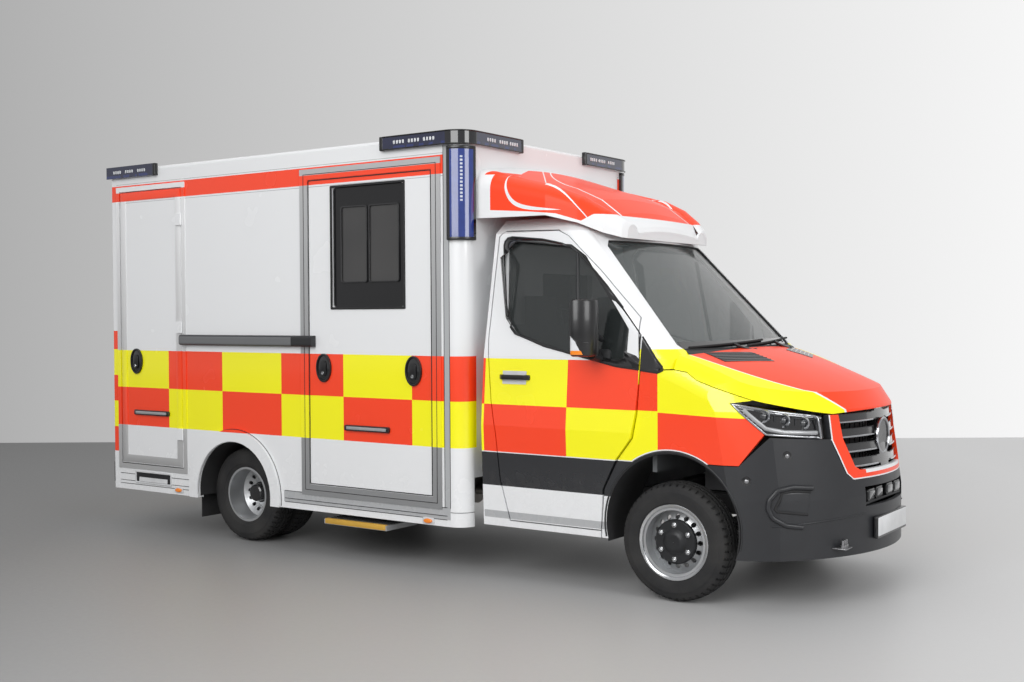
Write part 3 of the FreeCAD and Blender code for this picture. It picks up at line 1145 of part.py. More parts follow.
def mirrors():
    x, z = at(-d.mirror_x), d.mirror_bottom
    housing = plate_z("mirror housing", z, d.mirror_top, [
        (x, -d.mirror_outer), (x + d.mirror_depth, -d.mirror_outer + d.mirror_depth / 2, d.mirror_width),
        (x + d.mirror_depth, -d.mirror_inner - d.mirror_depth / 2), (x, -d.mirror_inner)])
    bend = d.mirror_inner + d.mirror_depth / 4
    arm = plate_x("mirror arm block", x + d.mirror_depth / 4, x + d.mirror_depth * 3 / 4, [
        (-bend, z - d.mirror_arm_drop), (-d.mirror_foot, z - d.mirror_arm_drop - d.mirror_arm_height),
        (-d.mirror_foot, z - d.mirror_arm_drop), (-bend + d.mirror_arm_height, z + d.mirror_arm_drop),
        (-bend - d.mirror_arm_height, z + d.mirror_arm_drop)])
    arm = cut("mirror arm", arm, cabin_body("mirror foot plane", -d.seat_gap))
    whole = fuse("mirror_right", housing, arm)
    node("mirror_right", whole)
    node("mirror_left", mirrored("mirror_left", whole))


def roof_fairing():
    sections, inner = [], []
    for row in FAIRING:
        for wall, store in ((0, sections), (d.fairing_wall, inner)):
            half, top = row["half_width"] - wall, row["top"] - wall
            shoulder = row["shoulder"] - wall
            low, top_half = row["low"] - wall, row["top_half"] - wall
            run, rise = half - top_half, top - shoulder
            arc = (run * run + rise * rise) / (run * 2)
            crown = row["crown"]
            top_arc = (top_half * top_half + crown * crown) / (crown * 2)
            store.append((BOX_FRONT + d.seat_gap + row["reach"], [
                (-half, low), (half, low), (half, shoulder, arc), (top_half, top, top_arc),
                (-top_half, top, arc), (-half, shoulder)]))
    skin = loft("fairing outside", "YZ_Plane", sections, ruled=True)
    hollow = loft("fairing inside", "YZ_Plane", inner, ruled=True)
    node("roof_fairing", cut("roof_fairing", skin, hollow, cabin_body("fairing seat", -d.seat_gap)))


def gaiter():
    outer_y, outer_z = d.pass_half_width + d.gaiter_wall, d.gaiter_wall
    node("gaiter", plate_x("gaiter", BOX_FRONT, at(-d.cab_back), rectangle(
        -outer_y, outer_y, d.pass_bottom - outer_z, d.pass_top + outer_z),
        [rectangle(-d.pass_half_width, d.pass_half_width, d.pass_bottom, d.pass_top)]))


def main():
    box_walls()
    box_shell()
    rear_end()
    side_door_and_locker()
    arch_flares()
    outside_fittings()
    warning_lights()
    ladder_frame()
    rear_axle()
    front_suspension()
    masses_below()
    front_wheels()
    knuckles()
    rear_wheels()
    cab_shell_and_doors()
    nose_panels()
    cab_inside()
    steering()
    mirrors()
    roof_fairing()
    gaiter()
    write()


def write():
    """Recompute, check every object and write each sub-part to its STEP file."""
    doc.recompute()
    faults = [thing.Label for thing in doc.Objects
              if "Invalid" in thing.State or "Error" in thing.State]
    faults += [name for name, thing in NODES.items()
               if thing.Shape.isNull() or not thing.Shape.isValid() or thing.Shape.Volume <= 0]
    if faults:
        raise RuntimeError("not built: " + ", ".join(faults))
    os.makedirs("parts", exist_ok=True)
    for name, thing in NODES.items():
        thing.Shape.exportStep("parts/%s.step" % name)
        box_of = thing.Shape.BoundBox
        print("%-20s %2d solids  X %6.0f %6.0f  Y %6.0f %6.0f  Z %5.0f %5.0f" % (
            name, len(thing.Shape.Solids), box_of.XMin, box_of.XMax, box_of.YMin, box_of.YMax,
            box_of.ZMin, box_of.ZMax))


main()
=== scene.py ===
"""Finishes and fine pieces of the box-body ambulance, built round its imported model.

Metres, +X forward, +Y to the vehicle's left, +Z up.  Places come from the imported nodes, and the
livery is laid out from the front axle line.
"""
import json
from math import asin, atan2, cos, degrees, dist, hypot, pi, radians, sin, tau

import bpy
from mathutils import Matrix, Vector
from mathutils.bvhtree import BVHTree


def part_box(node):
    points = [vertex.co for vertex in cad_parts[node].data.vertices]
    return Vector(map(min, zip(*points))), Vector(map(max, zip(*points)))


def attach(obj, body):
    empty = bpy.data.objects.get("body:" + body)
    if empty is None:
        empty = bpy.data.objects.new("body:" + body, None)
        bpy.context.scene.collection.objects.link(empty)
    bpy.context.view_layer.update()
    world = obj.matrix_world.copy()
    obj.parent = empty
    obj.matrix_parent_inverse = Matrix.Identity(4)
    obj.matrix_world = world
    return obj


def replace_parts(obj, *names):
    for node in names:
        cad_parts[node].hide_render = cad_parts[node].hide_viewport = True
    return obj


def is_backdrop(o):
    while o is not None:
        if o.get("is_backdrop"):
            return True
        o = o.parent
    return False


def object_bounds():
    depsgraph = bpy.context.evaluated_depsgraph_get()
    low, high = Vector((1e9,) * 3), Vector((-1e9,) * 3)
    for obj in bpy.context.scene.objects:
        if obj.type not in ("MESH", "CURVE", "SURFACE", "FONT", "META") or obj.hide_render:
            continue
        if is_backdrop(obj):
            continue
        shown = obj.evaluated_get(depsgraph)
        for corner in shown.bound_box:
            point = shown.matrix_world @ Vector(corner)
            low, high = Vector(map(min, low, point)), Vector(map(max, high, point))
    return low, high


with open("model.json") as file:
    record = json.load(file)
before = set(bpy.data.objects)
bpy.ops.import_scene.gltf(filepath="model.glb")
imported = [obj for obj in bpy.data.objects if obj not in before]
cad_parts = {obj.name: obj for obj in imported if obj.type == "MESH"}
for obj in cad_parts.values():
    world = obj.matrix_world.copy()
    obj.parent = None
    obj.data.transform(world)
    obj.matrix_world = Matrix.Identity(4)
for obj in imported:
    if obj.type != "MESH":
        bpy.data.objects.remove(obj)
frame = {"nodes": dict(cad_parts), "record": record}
cad_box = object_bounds()
JOINTS = {joint["name"]: joint["pos_m"] for joint in frame["record"]["behaviour"]["joints"]}
AXLE = JOINTS["steer_right"][0]
REAR_AXLE = JOINTS["spin_rear_right"][0]
WHEEL_Z = JOINTS["spin_front_right"][2]
FRONT_ARCH_Z = 0.45
BOX_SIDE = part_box("box_wall_right")[0][1]
HALF = abs(BOX_SIDE)
BOX_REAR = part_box("rear_frame")[0][0]
BOX_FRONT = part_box("box_front")[1][0]
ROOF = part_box("box_roof")[1][2]
NOSE_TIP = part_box("front_bumper")[1][0]
SIDES = (("right", -1), ("left", 1))


def at(station):
    """A place along the vehicle, from its distance ahead of the front axle."""
    return AXLE + station


# ---------------------------------------------------------------- shader writing
MATERIALS = {}


class Signal:
    """A shader socket that takes part in Python sums."""

    def __init__(self, paint, socket):
        self.paint, self.socket = paint, socket

    def join(self, operation, *others):
        return self.paint.add("ShaderNodeMath", {"operation": operation}, self, *others)

    def __rsub__(self, other):
        return self.paint.add("ShaderNodeMath", {"operation": "SUBTRACT"}, other, self)


for method, operation in (
        ("__add__", "ADD"), ("__radd__", "ADD"), ("__sub__", "SUBTRACT"), ("__mul__", "MULTIPLY"),
        ("__rmul__", "MULTIPLY"), ("__and__", "MULTIPLY"), ("__or__", "MAXIMUM"), ("__truediv__", "DIVIDE"),
        ("__gt__", "GREATER_THAN"), ("__lt__", "LESS_THAN"), ("__abs__", "ABSOLUTE"), ("least", "MINIMUM"),
        ("power", "POWER"), ("modulo", "MODULO"), ("fraction", "FRACT")):
    setattr(Signal, method, lambda self, *others, operation=operation: self.join(operation, *others))


class Paint:
    """One material, with its nodes added by type, settings and inputs."""

    def __init__(self, name):
        self.material = MATERIALS[name] = bpy.data.materials.new(name)
        self.material.use_nodes = True
        self.tree = self.material.node_tree
        self.shader = self.tree.nodes["Principled BSDF"]
        place = self.tree.nodes.new("ShaderNodeTexCoord")
        self.place = Signal(self, place.outputs["Object"])
        split = self.tree.nodes.new("ShaderNodeSeparateXYZ")
        self.tree.links.new(place.outputs["Object"], split.inputs[0])
        self.x, self.y, self.z = [Signal(self, split.outputs[axis]) for axis in range(3)]

    def put(self, socket, value):
        if isinstance(value, Signal):
            self.tree.links.new(value.socket, socket)
        elif hasattr(socket, "default_value"):
            if hasattr(socket.default_value, "__len__") and len(socket.default_value) == 4:
                value = tuple(value) if len(value) == 4 else tuple(value) + (1.0,)
            socket.default_value = value

    def add(self, kind, settings, *values, output=0, **named):
        node = self.tree.nodes.new(kind)
        for key, value in settings.items():
            setattr(node, key, value)
        for number, value in enumerate(values):
            self.put(node.inputs[number], value)
        for key, value in named.items():
            self.put(node.inputs[key.replace("_", " ")], value)
        return Signal(self, node.outputs[output])

    def between(self, value, low, high):
        return (value > low) & (value < high)

    def patch(self, x0, x1, z0, z1):
        return self.between(self.x, x0, x1) & self.between(self.z, z0, z1)

    def blend(self, mask, under, over):
        node = self.tree.nodes.new("ShaderNodeMix")
        node.data_type = "RGBA"
        for number, value in ((0, mask), (6, under), (7, over)):
            self.put(node.inputs[number], value)
        return Signal(self, node.outputs[2])

    def layers(self, color, *layers):
        """A colour with others laid over it, each given as its mask and itself."""
        for mask, over in layers:
            color = self.blend(mask, color, over)
        return color

    def noise(self, scale, detail=3.0, stretch=None):
        place = self.add("ShaderNodeMapping", {}, self.place, Scale=stretch) if stretch else self.place
        return self.add("ShaderNodeTexNoise", {}, place, Scale=scale, Detail=detail)

    def brush(self):
        """The long grain of brushed metal."""
        return self.noise(60.0, 3.0, (1.0, 1.0, 24.0))

    def ramp(self, value, low, high):
        """0 below one value and 1 above another."""
        signal = self.add("ShaderNodeValToRGB", {}, value)
        for element, position, shade in zip(signal.socket.node.color_ramp.elements, (low, high), (0.0, 1.0)):
            element.position, element.color = position, (shade, shade, shade, 1.0)
        return signal

    def made(self, *bump, **values):
        """Set the shader's inputs, with a bump from (height, strength, distance), and give the material."""
        if bump:
            height, strength, distance = bump
            values["Normal"] = self.add("ShaderNodeBump", {}, Strength=strength, Distance=distance, Height=height)
        for key, value in values.items():
            self.put(self.shader.inputs[key.replace("_", " ")], value)
        return self.material


WHITE = (0.8, 0.81, 0.82)
YELLOW = (0.97, 0.92, 0.006)
SIGNAL_RED = (0.97, 0.06, 0.014)
BAND_BLACK = (0.022, 0.023, 0.026)
TRIM_GREY = (0.42, 0.43, 0.44)
# name: CAD slot, colour, roughness, metallic, coat, grain as (scale, strength)
FINISHES = {
    "black moulding": ("black_plastic", (0.02, 0.021, 0.023), 0.55, 0.0, 0.0, (700.0, 0.25)),
    "bumper moulding": ("black_plastic", (0.018, 0.019, 0.022), 0.42, 0.0, 0.12, (900.0, 0.15)),
    "gloss black": ("gloss_black", (0.012, 0.012, 0.013), 0.14, 0.0, 0.8, None),
    "soft black": ("black_rubber", (0.02, 0.02, 0.021), 0.85, 0.0, 0.0, (300.0, 0.3)),
    "dash moulding": ("dash_plastic", (0.03, 0.031, 0.034), 0.62, 0.0, 0.0, (500.0, 0.3)),
    "floor covering": ("floor", (0.12, 0.125, 0.13), 0.75, 0.0, 0.0, (260.0, 0.4)),
    "chassis black": ("chassis_black", (0.02, 0.02, 0.021), 0.48, 0.0, 0.0, (120.0, 0.2)),
    "cast grey": ("cast_grey", (0.11, 0.11, 0.115), 0.62, 0.4, 0.0, (220.0, 0.5)),
    "exhaust steel": ("exhaust_steel", (0.3, 0.28, 0.26), 0.42, 0.9, 0.0, (90.0, 0.2)),
    "bright nut": ("rim_silver", (0.6, 0.61, 0.62), 0.18, 1.0, 0.0, None),
    "dark hub": ("cast_grey", (0.022, 0.023, 0.025), 0.4, 0.3, 0.0, (150.0, 0.2)),
    "mirror silver": ("clear_glass", (0.72, 0.74, 0.75), 0.03, 1.0, 0.0, None),
    "amber lens": ("lamp_lens", (0.95, 0.26, 0.015), 0.1, 0.0, 1.0, None),
    "red lens": ("red_lens", (0.5, 0.01, 0.012), 0.12, 0.0, 1.0, None),
    "clear lens": ("lamp_lens", (0.72, 0.74, 0.76), 0.08, 0.0, 1.0, None),
    "lamp bowl": ("lamp_lens", (0.52, 0.53, 0.55), 0.16, 1.0, 0.0, None),
    "lamp strip": ("lamp_lens", (0.42, 0.43, 0.44), 0.2, 0.3, 0.8, None),
    "dark lens": ("lamp_lens", (0.045, 0.048, 0.052), 0.06, 0.0, 1.0, None),
    "plate white": ("white_paint", (0.78, 0.79, 0.8), 0.3, 0.0, 0.4, None),
    "handle black": ("black_plastic", (0.01, 0.01, 0.011), 0.3, 0.0, 0.3, None),
    "tow steel": ("exhaust_steel", (0.34, 0.34, 0.35), 0.35, 0.9, 0.0, None),
    "stair yellow": ("grey_aluminium", (0.62, 0.36, 0.05), 0.5, 0.0, 0.0, None),
    "white fitting": ("white_paint", (0.66, 0.67, 0.68), 0.3, 0.0, 0.5, None),
    "headlining": ("floor", (0.34, 0.35, 0.36), 0.9, 0.0, 0.0, (320.0, 0.3)),
}
for name, (slot, color, roughness, metallic, coat, grain) in FINISHES.items():
    paint = Paint(name)
    tone = paint.noise(9.0)
    darker = tuple(channel * 0.86 for channel in color)
    bump = (paint.noise(grain[0], 2.0), grain[1], 0.0006) if grain else ()
    paint.made(*bump, Base_Color=paint.blend(paint.ramp(tone, 0.3, 0.7), color, darker), Metallic=metallic,
               Roughness=roughness + (tone - 0.5) * 0.12, Coat_Weight=coat)


# ---------------------------------------------------------------- livery
CHECKER_EDGES = [at(station) for station in (-4.373, -3.758, -3.129, -2.518, -1.896, -1.351, -0.717, -0.085)]
BOX_ROWS = (0.839, 1.146, 1.444)
CAB_ROWS = (0.831, 1.137, 1.433)
ROOF_BAND = (2.646, 2.771)
SIDE_FACE = 0.93  # what lies further out is on the side of the box
BACK_FACE = at(-4.993)


def checker(paint, rows):
    """The two-row checker as a mask of where it lies and its colour there."""
    low, middle, top = rows
    count = paint.z < middle
    for edge in CHECKER_EDGES:
        count = count + (paint.x > edge)
    squares = paint.blend(count.modulo(2.0), YELLOW, SIGNAL_RED)
    return paint.between(paint.z, low, top) & (paint.x > BACK_FACE), squares


def film_surface(paint, color, coat=0.6):
    """Gloss paint with laid film: a slight orange peel and faint road dust low down."""
    peel = paint.noise(420.0, 2.0)
    wave = paint.noise(3.5, 2.0)
    dust = (paint.ramp(paint.noise(14.0, 5.0), 0.45, 0.8) & (0.75 - paint.z) * 0.9) | 0.0
    return paint.made(
        peel + wave * 2.0, 0.06, 0.0006, Base_Color=paint.blend(dust * 0.35, color, (0.33, 0.31, 0.28)),
        Roughness=0.44 - coat * 0.3 + (wave - 0.5) * 0.08 + dust * 0.25, Coat_Weight=coat,
        Coat_Roughness=0.06, Specular_IOR_Level=0.2 + coat * 0.5)


def box_paint():
    """White panels with the checker, the band under the roof and the grey profile at the skirt."""
    paint = Paint("box paint")
    mask, squares = checker(paint, BOX_ROWS)
    sides = abs(paint.y) > SIDE_FACE
    lines = [(sides & paint.between(paint.z, height, height + 0.004), TRIM_GREY)
             for height in (ROOF_BAND[0] - 0.016, ROOF_BAND[1] + 0.01)]
    skirt = sides & paint.patch(at(-4.98), at(-1.6), 0.362, 0.443)
    film_surface(paint, paint.layers(
        WHITE, (sides & mask, squares), (sides & paint.between(paint.z, *ROOF_BAND), SIGNAL_RED), *lines,
        (sides & paint.patch(at(-1.619), at(-1.573), 0.362, 2.83), TRIM_GREY),
        (skirt & (paint.x - REAR_AXLE > 0.52), TRIM_GREY)))


def frame_paint():
    """Aluminium door frames that the checker and the roof band run over, with painted light making them brighter
    towards the top.
    """
    paint = Paint("frame paint")
    mask, squares = checker(paint, BOX_ROWS)
    side = paint.y < -SIDE_FACE
    mask = mask & side
    grain = paint.brush()
    # painted light: the frames' grey gets lighter with height, as if lit from above
    height = (paint.z - 0.4) * 0.45
    side_door = paint.blend(height, (0.26, 0.265, 0.27), (0.52, 0.525, 0.53))
    locker = paint.blend(height, (0.42, 0.42, 0.42), (0.93, 0.935, 0.94))
    band = paint.between(paint.z, ROOF_BAND[0], 2.716) & side
    film = mask | band
    color = paint.layers(side_door, (paint.x < at(-4.1), locker), (paint.noise(3.0) * 0.12, (0.4, 0.405, 0.41)),
                         (mask, squares), (band, SIGNAL_RED))
    paint.made(grain, 0.06, 0.0004, Base_Color=color, Metallic=0.25 - film * 0.25,
               Roughness=0.36 + grain * 0.12 - film * 0.1, Coat_Weight=film * 0.6)


def rear_paint():
    """White rear doors and posts with slanting red and yellow warning stripes."""
    paint = Paint("rear paint")
    stripes = paint.blend((abs(paint.y) + paint.z).modulo(0.42) > 0.21, SIGNAL_RED, YELLOW)
    back = paint.x < at(-4.99)
    film_surface(paint, paint.layers(WHITE, (back & paint.between(paint.z, 0.62, 1.6), stripes),
                                     (back & paint.between(paint.z, *ROOF_BAND), SIGNAL_RED)))


def cab_paint():
    """White cab side with the checker, the dark band, the grey sill stripe and yellow lugs by the bonnet."""
    paint = Paint("cab paint")
    mask, squares = checker(paint, CAB_ROWS)
    lug = (paint.x > at(-0.215)) & (paint.z < 1.505) & (abs(paint.y) > 0.8)
    film_surface(paint, paint.layers(
        WHITE, (mask, squares), (paint.patch(at(-1.42), at(0.0), 0.609, 0.826), BAND_BLACK),
        (paint.patch(at(-1.42), at(0.0), 0.825, 0.831), WHITE),
        (paint.between(paint.z, 0.397, 0.444) & paint.between(paint.x, at(-1.362), at(-0.3)), TRIM_GREY),
        (lug, YELLOW)))


def wing_paint():
    """Yellow over red on the wings, with a white line and the dark lip round the arch."""
    paint = Paint("wing paint")
    x, z = paint.x - AXLE, paint.z
    rear = paint.blend(z > 1.137, YELLOW, SIGNAL_RED)
    front = paint.blend(z - (x * -0.03 + 1.127) > 0.0, SIGNAL_RED, YELLOW)
    radius = (x * x + (z - FRONT_ARCH_Z) * (z - FRONT_ARCH_Z)).power(0.5)
    low = (z < 0.831) & (x < -0.2)
    film_surface(paint, paint.layers(
        front, (x < -0.085, rear), (radius < 0.464, WHITE), (low, WHITE),
        (low & paint.between(z, 0.603, 0.825), BAND_BLACK), (low & paint.between(z, 0.397, 0.444), TRIM_GREY),
        ((radius < 0.457) & (z > 0.603), BAND_BLACK)))


def bonnet_paint():
    """Red-orange down the middle and yellow along both sides, parted by a white line."""
    paint = Paint("bonnet paint")
    x = paint.x - AXLE
    edge = abs(paint.y) - 0.82 + x * 0.0223 + x * x * 0.4288 + ((x - 0.676) | 0.0) * 0.35
    film_surface(paint, paint.layers(SIGNAL_RED, (edge > 0.0, YELLOW), (paint.between(edge, -0.005, 0.005), WHITE)),
                 0.1)


def fairing_paint():
    """Red-orange film on the roof fairing with white curved lines and a white lower edge."""
    paint = Paint("fairing paint")
    x, y, z = paint.x, abs(paint.y), paint.z
    lower = (2.402 - (x - 0.716) * 0.074).least(2.382 - (x - 0.987) * 0.103).least(2.362 - (x - 1.181) * 0.336)
    brow = (2.312 + (x - 1.33) * 0.6).least(2.354)
    above = ((z > lower) & (x < 1.33)) | ((z > brow) & (x > 1.3299))
    shoulder = ((abs(y - 0.62) * -4.0 + 1.0) | 0.0) * 0.11 + 0.655
    behind = ((x < 0.718) & (z < 2.64)) | ((x < shoulder) & (z > 2.6399))
    rise, run = z - 2.365, x - 0.783
    bend = (rise * run - 0.0086) / (rise * rise + run * run).power(0.5)
    swell = (x - z + 1.5) / 0.33
    swoosh = (abs(bend) < 0.013 - swell * swell * 0.013) & (y > 0.7) & (x > 0.783)
    over = paint.between((y - 0.196 - (x - 0.659) * 1.4) * 0.58, -0.004, 0.004) & (x < 1.082)
    fall = x - 1.089
    down = paint.between(z - 2.559 + fall * 0.25 + fall * fall * 2.1, -0.005, 0.005) & (fall > -0.008) & (y > 0.66)
    broad = paint.between(y - 0.48 + ((1.05 - x) | 0.0).power(1.6) * 1.724, -0.009, 0.009)
    color = paint.blend(above, WHITE, paint.blend(behind, SIGNAL_RED, WHITE))
    film_surface(paint, paint.blend(swoosh | ((over | down | broad) & above), color, WHITE), 0.1)


def surround_paint():
    """Red-orange grille surround with a white line round its outer edge and dark flanks."""
    paint = Paint("surround paint")
    z = paint.z
    outer = (0.548 - (0.975 - z) * 0.4).least(0.549).least(0.47 - (0.78 - z) * 1.25)
    rim = abs(paint.y) - outer
    edge = paint.between(rim, -0.01, -0.0008) | (z < 0.747)
    chin = paint.between(z, 0.77, 0.8) & (abs(paint.y) < 0.3)
    film_surface(paint, paint.layers(SIGNAL_RED, (edge | chin, WHITE), ((rim > -0.0008) & (z > 0.747), BAND_BLACK)),
                 0.3)


def rubber_tyre():
    """Black rubber with road dust on it."""
    paint = Paint("tyre rubber")
    grit = paint.noise(160.0, 4.0)
    dust = paint.ramp(paint.noise(6.0, 4.0), 0.35, 0.75)
    paint.made(grit, 0.25, 0.0008, Base_Color=paint.blend(dust * 0.5, (0.012, 0.012, 0.013), (0.045, 0.043, 0.04)),
               Roughness=0.68 + grit * 0.2)


def brushed_rim():
    """Silver wheel paint over pressed steel."""
    paint = Paint("rim silver")
    flake = paint.noise(900.0, 1.0)
    tone = paint.noise(7.0, 3.0)
    paint.made(flake, 0.05, 0.0004, Base_Color=paint.blend(tone, (0.42, 0.43, 0.44), (0.55, 0.56, 0.57)),
               Metallic=0.75, Roughness=0.3 + flake * 0.12 + (tone - 0.5) * 0.1, Coat_Weight=0.3)


def tinted_glass(name, color, density):
    """Vehicle glass: a dark gloss sheet that lets some light through."""
    paint = Paint(name)
    material = paint.made(Base_Color=color, Roughness=0.015 + paint.noise(2.2) * 0.02, Alpha=density,
                          Coat_Weight=1.0, Coat_Roughness=0.02, IOR=1.5)
    material.surface_render_method = "BLENDED"
    material.use_transparent_shadow = True


PANES = ((-2.531, -2.305), (-2.271, -2.017))


def box_window_glass():
    """Black border printed round the box windows, with clearer panes inside it that carry painted shade of the dim box
    inside.
    """
    paint = Paint("box window glass")
    x = paint.x - AXLE
    left, right = [paint.between(x, *pane) for pane in PANES]
    clear = (left | right) & paint.between(paint.z, 1.953, 2.47) & (abs(paint.y) > 1.0)
    # painted shade: a dim mottled grey in the clear panes stands in for the shaded inside of the box
    inside = paint.blend(paint.noise(1.6, 2.0), (0.03, 0.03, 0.032), (0.08, 0.078, 0.075))
    paint.made(Base_Color=paint.blend(clear, (0.008, 0.008, 0.009), inside), Roughness=0.16 - clear * 0.08,
               Coat_Weight=0.15, Coat_Roughness=0.05)


def light_module():
    """Dark blue lens with a row of small emitters behind it and black ends."""
    paint = Paint("light module")
    x, y, z = paint.x, abs(paint.y), paint.z
    black = (0.006, 0.006, 0.008)
    upright = z < 2.8
    strip = paint.between(x - BOX_FRONT + HALF - y, -0.018, 0.006)
    dots = upright & strip & paint.between(z, 2.46, 2.755) & paint.between((z * 42.0).fraction(), 0.25, 0.8)
    # painted glow: a lighter blue band low on the lens, laid into the colour while the lamp is unlit
    painted_glow = paint.between(z, 2.835, 2.856) & paint.between(paint.noise(14.0, 1.0), 0.5, 1.0)
    deep = paint.noise(24.0, 2.0)
    column = paint.blend(deep, (0.012, 0.03, 0.17), (0.02, 0.048, 0.26))
    ends = (x < BOX_FRONT - 0.088) | (y < HALF - 0.088)
    color = paint.layers(
        (0.006, 0.008, 0.03), (deep, (0.012, 0.016, 0.06)), (painted_glow * 0.5, (0.02, 0.04, 0.2)),
        ((x > BOX_FRONT - 0.12) & (y > HALF - 0.12), black), (upright, column), (upright & ends, black),
        (dots, (0.62, 0.66, 0.74)))
    paint.made(Base_Color=color, Roughness=0.07 + dots * 0.1, Coat_Weight=1.0, Coat_Roughness=0.02)


def cloth_seat():
    """Dark woven seat cloth."""
    paint = Paint("seat cloth")
    weave = paint.add("ShaderNodeTexWave", {"wave_type": "BANDS"}, paint.place, Scale=240.0, Distortion=1.0)
    cross = paint.noise(300.0, 2.0)
    paint.made(weave + cross, 0.3, 0.0008, Roughness=0.8 + weave * 0.15,
               Base_Color=paint.blend(cross, (0.018, 0.019, 0.021), (0.045, 0.046, 0.05)))


def brushed_aluminium():
    paint = Paint("grey aluminium")
    grain = paint.brush()
    paint.made(grain, 0.08, 0.0004, Metallic=0.55, Roughness=0.34 + grain * 0.14,
               Base_Color=paint.blend(paint.noise(3.0), (0.44, 0.445, 0.45), (0.52, 0.525, 0.53)))


def rail_paint():
    """A grey door rail with darker lips and a black cap at its front end."""
    paint = Paint("rail paint")
    low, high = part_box("door_rail")
    cap = paint.x > high[0] - 0.145 * (high[0] - low[0])
    lip = (paint.z > high[2] - 0.012) | (paint.z < low[2] + 0.008)
    paint.made(Base_Color=paint.layers((0.17, 0.175, 0.18), (lip, (0.045, 0.046, 0.05)), (cap, (0.022, 0.023, 0.025))),
               Metallic=0.2 - cap * 0.2, Roughness=0.4 + paint.brush() * 0.1)


for paints in (box_paint, rear_paint, cab_paint, wing_paint, bonnet_paint, fairing_paint, surround_paint,
               rubber_tyre, brushed_rim, light_module, cloth_seat, brushed_aluminium, frame_paint,
               box_window_glass, rail_paint):
    paints()
tinted_glass("windscreen glass", (0.1, 0.12, 0.12), 0.34)
tinted_glass("door glass", (0.03, 0.035, 0.035), 0.62)
CAD_FINISHES = {
    "box paint": "box_wall_right box_wall_left box_front box_roof side_door locker_door arch_flares",
    "rear paint": "rear_frame rear_door_right rear_door_left",
    "box window glass": "rear_glass_right rear_glass_left box_windows",
    "black moulding": "rear_bumper fuel_tank mirror_right mirror_left",
    "soft black": "mudflaps steering_wheel gaiter",
    "chassis black": "body_bearers frame_rails rear_axle front_axle",
    "cast grey": "engine_block knuckle_right knuckle_left",
    "tyre rubber": "front_tyre_right front_tyre_left rear_tyres_right rear_tyres_left",
    "rim silver": "front_rim_right front_rim_left rear_rims_right rear_rims_left",
    "cab paint": "cab_shell cab_door_right cab_door_left", "door glass": "door_glass_right door_glass_left",
    "windscreen glass": "windscreen", "wing paint": "front_wings", "bonnet paint": "bonnet",
    "fairing paint": "roof_fairing", "surround paint": "grille_surround", "gloss black": "headlights grille",
    "bumper moulding": "front_bumper", "floor covering": "cab_floor box_floor", "dash moulding": "dashboard",
    "seat cloth": "seats", "red lens": "tail_lamps", "frame paint": "door_frames", "rail paint": "door_rail",
    "grey aluminium": "side_step", "light module": "warning_lights", "exhaust steel": "exhaust",
}
for finish, nodes in CAD_FINISHES.items():
    for name in nodes.split():
        node = frame["nodes"][name]
        for slot in node.material_slots:
            slot.material = MATERIALS[finish]
        if not node.material_slots:
            node.data.materials.append(MATERIALS[finish])


# ---------------------------------------------------------------- modelling
MERGE = 0.00002  # corners this close are one corner
FOLD = 50  # an edge sharper than this many degrees is rounded
OUTSIDE = 9.0  # a distance well outside the vehicle
ORDERS = {"x": lambda u, v, w: (w, u, v), "y": lambda u, v, w: (u, w, v), "z": lambda u, v, w: (u, v, w)}


def alone(*pieces):
    """Select only these pieces; the last is the active one."""
    bpy.ops.object.select_all(action="DESELECT")
    for piece in pieces:
        piece.select_set(True)
        bpy.context.view_layer.objects.active = piece
    return pieces[-1]


def blank(operator, **settings):
    """The mesh that an operator adds."""
    bpy.ops.object.select_all(action="DESELECT")
    operator(**settings)
    return bpy.context.active_object


def modified(piece, kind, **settings):
    """Add a modifier and apply it at once."""
    alone(piece)
    modifier = piece.modifiers.new(kind.lower(), kind)
    for key, value in settings.items():
        setattr(modifier, key, value)
    bpy.ops.object.modifier_apply(modifier=modifier.name)


def bevelled(piece, width, rings=2):
    if width:
        modified(piece, "BEVEL", width=width, segments=rings, limit_method="ANGLE", angle_limit=radians(FOLD))


def edited(piece, *steps):
    """Run operators in edit mode with everything selected first."""
    alone(piece)
    bpy.ops.object.mode_set(mode="EDIT")
    bpy.ops.mesh.select_all(action="SELECT")
    for step in steps:
        step()
    bpy.ops.object.mode_set(mode="OBJECT")


def face_outwards():
    bpy.ops.mesh.select_all(action="SELECT")
    bpy.ops.mesh.remove_doubles(threshold=MERGE)
    bpy.ops.mesh.normals_make_consistent(inside=False)


def kept(piece, name, finish, body="vehicle", sharp=32.0):
    """Name a finished piece, give it its finish and let it ride on a body."""
    alone(piece)
    bpy.ops.object.transform_apply(location=True, rotation=True, scale=True)
    bpy.ops.object.shade_smooth_by_angle(angle=radians(sharp))
    piece.name = name
    piece.data.materials.clear()
    piece.data.materials.append(MATERIALS[finish])
    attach(piece, body)
    return piece


def mix(start, end, share):
    """A point part of the way between two others."""
    return tuple(a + (b - a) * share for a, b in zip(start, end))


def arc(cu, cv, ru, start, end, steps, rv=None):
    """Points along a circle or an ellipse between two angles in degrees."""
    angles = [radians(start + (end - start) * step / steps) for step in range(steps + 1)]
    return [(cu + ru * cos(angle), cv + (rv or ru) * sin(angle)) for angle in angles]


def oval(cu, cv, ru, rv, count=28):
    return arc(cu, cv, ru, 0, 360, count, rv)[:-1]


def rounded(u0, u1, v0, v1, radius, steps=5):
    """A rectangle with round corners, anticlockwise."""
    u0, u1 = sorted((u0, u1))
    return [point for cu, cv, start in ((u1 - radius, v0 + radius, -90), (u1 - radius, v1 - radius, 0),
                                        (u0 + radius, v1 - radius, 90), (u0 + radius, v0 + radius, 180))
            for point in arc(cu, cv, radius, start, start + 90, steps)]


